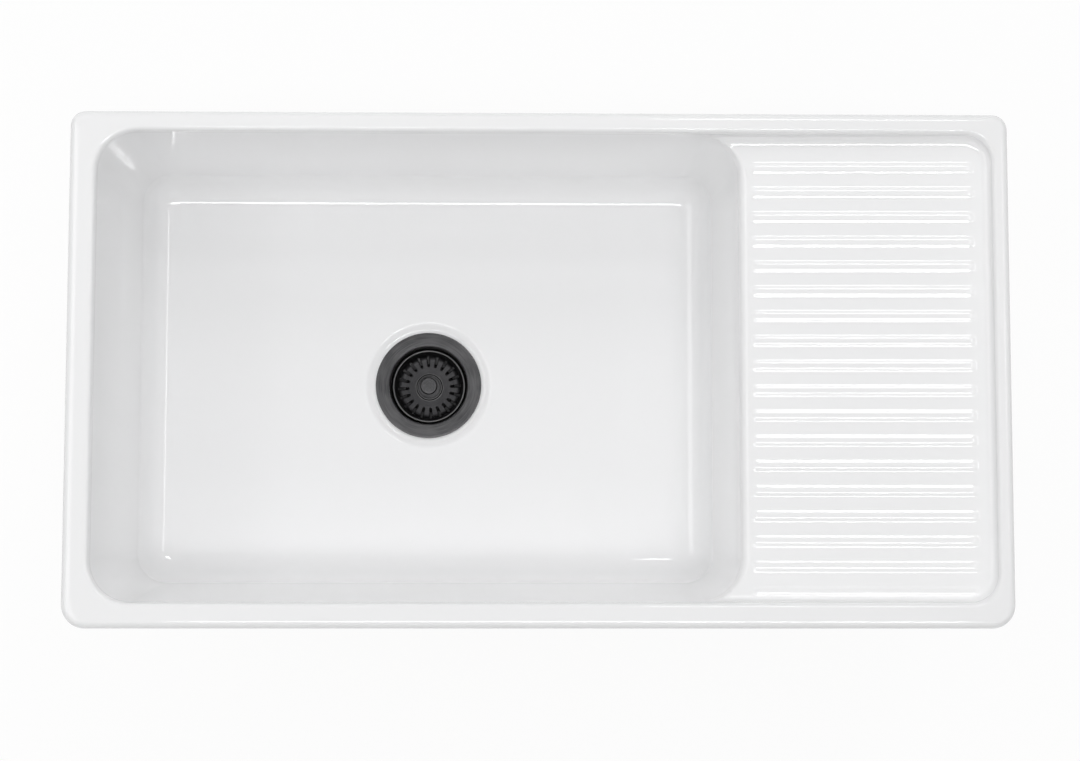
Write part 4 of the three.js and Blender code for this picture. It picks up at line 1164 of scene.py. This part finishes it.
FINISHES = {
    "white_glaze": glaze(),
    "gunmetal": brushed("gunmetal", (0.049, 0.049, 0.051), (0.094, 0.093, 0.095), 0.28, 0.42, 300),
    "basket_steel": brushed(
        "basket_steel", (0.031, 0.031, 0.033), (0.058, 0.057, 0.059), 0.38, 0.52, 700, PAINTED_HIGHLIGHT_BANDS
    ),
    "zinc_casting": cast_metal(),
    "brass_outlet": brushed("brass_outlet", (0.50, 0.34, 0.13), (0.62, 0.44, 0.19), 0.3, 0.45, 900),
    "black_rubber": rubber("black_rubber", (0.018, 0.018, 0.019), (0.032, 0.032, 0.033), 1800),
    "foam_gasket": rubber("foam_gasket", (0.62, 0.61, 0.58), (0.74, 0.73, 0.70), 900),
    "fibre_ring": rubber("fibre_ring", (0.30, 0.20, 0.12), (0.40, 0.28, 0.17), 700),
    "white_washer": rubber("white_washer", (0.74, 0.74, 0.72), (0.80, 0.80, 0.78), 300),
}
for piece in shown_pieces():
    material_slot = piece.get("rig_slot")
    if material_slot:
        piece.data.materials.clear()
        piece.data.materials.append(FINISHES[material_slot])


# ---- Studio: floor, sky, lamps and camera ----

PAPER_WHITE = 0.92
FLOOR_HALF = 15.0
FLOOR_GAP = 0.0004


def seen_directly(tree, share):
    """share for rays from the camera, in reflections and through glass, and 0 for all other light."""
    path = tree.nodes.new("ShaderNodeLightPath")
    total = path.outputs["Is Camera Ray"]
    for ray in ("Is Glossy Ray", "Is Transmission Ray"):
        add = tree.nodes.new("ShaderNodeMath")
        add.operation = "ADD"
        add.use_clamp = True
        tree.links.new(total, add.inputs[0])
        tree.links.new(path.outputs[ray], add.inputs[1])
        total = add.outputs[0]
    scale = tree.nodes.new("ShaderNodeMath")
    scale.operation = "MULTIPLY"
    scale.inputs[1].default_value = share
    tree.links.new(total, scale.inputs[0])
    return scale.outputs[0]


def paper():
    """White floor: seen directly it is nearly pure white and keeps a faint shadow, and it lights nothing."""
    material = bpy.data.materials.new("studio_paper")
    material.use_nodes = True
    tree = material.node_tree
    tree.nodes.clear()
    shade = tree.nodes.new("ShaderNodeBsdfDiffuse")
    shade.inputs["Color"].default_value = (1, 1, 1, 1)
    glow = tree.nodes.new("ShaderNodeEmission")
    mix = tree.nodes.new("ShaderNodeMixShader")
    tree.links.new(seen_directly(tree, PAPER_WHITE), mix.inputs["Fac"])
    tree.links.new(shade.outputs[0], mix.inputs[1])
    tree.links.new(glow.outputs[0], mix.inputs[2])
    output = tree.nodes.new("ShaderNodeOutputMaterial")
    tree.links.new(mix.outputs[0], output.inputs["Surface"])
    return material


def studio_floor():
    """A large square just under the tailpiece's end."""
    level = cad_box[0][2] - FLOOR_GAP
    corners = [(-1, -1), (1, -1), (1, 1), (-1, 1)]
    mesh = bpy.data.meshes.new("studio_floor")
    mesh.from_pydata([(x * FLOOR_HALF, y * FLOOR_HALF, level) for x, y in corners], [], [(0, 1, 2, 3)])
    mesh.materials.append(paper())
    thing = bpy.data.objects.new("studio_floor", mesh)
    bpy.context.scene.collection.objects.link(thing)


def studio_sky():
    """Pure white for the camera and for reflections; all other light comes from the lamps."""
    world = bpy.data.worlds.new("studio_sky")
    world.use_nodes = True
    tree = world.node_tree
    sky = tree.nodes["Background"]
    sky.inputs["Color"].default_value = (1, 1, 1, 1)
    tree.links.new(seen_directly(tree, 1.0), sky.inputs["Strength"])
    bpy.context.scene.world = world


def softbox(name, way, lean, length, width, radiance, distance, mirrored):
    """A rectangular lamp that faces the frame's origin, its length and width in degrees as seen from there.

    way is where it stands in plan. lean is in degrees from upright, and its sine is taken times way. The
    length lies along X in front and behind, and along Y at the sides. One that isn't mirrored lights the sink
    and shows in no reflection."""
    tilt = math.radians(lean)
    toward = Vector((way[0] * math.sin(tilt), way[1] * math.sin(tilt), math.cos(tilt)))
    lamp = bpy.data.lights.new(name, "AREA")
    lamp.shape = "RECTANGLE"
    lamp.size = 2 * distance * math.tan(math.radians(length / 2))
    lamp.size_y = 2 * distance * math.tan(math.radians(width / 2))
    lamp.energy = radiance * math.pi * lamp.size * lamp.size_y
    thing = bpy.data.objects.new(name, lamp)
    thing.location = toward * distance
    back = toward.normalized()
    side = Vector((1, 0, 0)) if abs(way[1]) > abs(way[0]) else Vector((0, 1, 0))
    side = (side - side.dot(back) * back).normalized()
    thing.rotation_euler = Matrix((side, back.cross(side), back)).transposed().to_euler()
    thing.visible_camera = False
    thing.visible_glossy = mirrored
    bpy.context.scene.collection.objects.link(thing)


# Name, way in plan, lean, length and width in degrees, radiance, and distance in metres.
# The first kind is mirrored as the light lines on ribs, coves and rim. The second only lights.
LINE_LAMPS = (
    ("softbox_front", (-0.25, -1), 11.5, 18.5, 3.4, 12, 8.0),
    ("softbox_front_right", (0.82, -1), 14, 11, 3.6, 16, 8.0),
    ("softbox_back", (0.45, 1), 24, 11, 4.4, 9.5, 8.0),
    ("softbox_left", (-1, 0), 31, 30, 18, 1.3, 3.0),
    ("softbox_right", (1, 0.22), 23, 14, 2, 7, 8.0),
)
FILL_LAMPS = (
    ("near_left", (-1, 0), 24, 38, 38, 0.16, 2.0),
    ("near_back", (0, 1), 24, 38, 38, 0.50, 2.0),
    ("over_front", (0, -1), 14, 30, 30, 0.46, 8.0),
    ("fill_back", (0, 1), 52, 60, 40, 1.48, 8.0),
    ("fill_left", (-1, 0), 52, 60, 40, 0.80, 8.0),
    ("fill_right", (1, 0), 52, 60, 40, 0.69, 8.0),
    ("fill_front", (0, -1), 52, 60, 40, 0.98, 8.0),
)
CAMERA_FOCAL = 63.12
CAMERA_PLACE = (-0.03127, -0.15455, 2.07167)
CAMERA_TURN = (0.078, -0.017, 0.001)


def photo_camera():
    """The photograph's camera: above the sink, looking nearly straight down, its lens in millimetres."""
    data = bpy.data.cameras.new("photo_camera")
    data.sensor_fit = "HORIZONTAL"
    data.sensor_width = 36.0
    data.lens = CAMERA_FOCAL
    thing = bpy.data.objects.new("photo_camera", data)
    thing.location = CAMERA_PLACE
    thing.rotation_euler = CAMERA_TURN
    bpy.context.scene.collection.objects.link(thing)
    bpy.context.scene.camera = thing


studio_floor()
studio_sky()
for lamp in LINE_LAMPS:
    softbox(*lamp, mirrored=True)
for lamp in FILL_LAMPS:
    softbox(*lamp, mirrored=False)
photo_camera()
bpy.context.scene.view_settings.view_transform = "Standard"
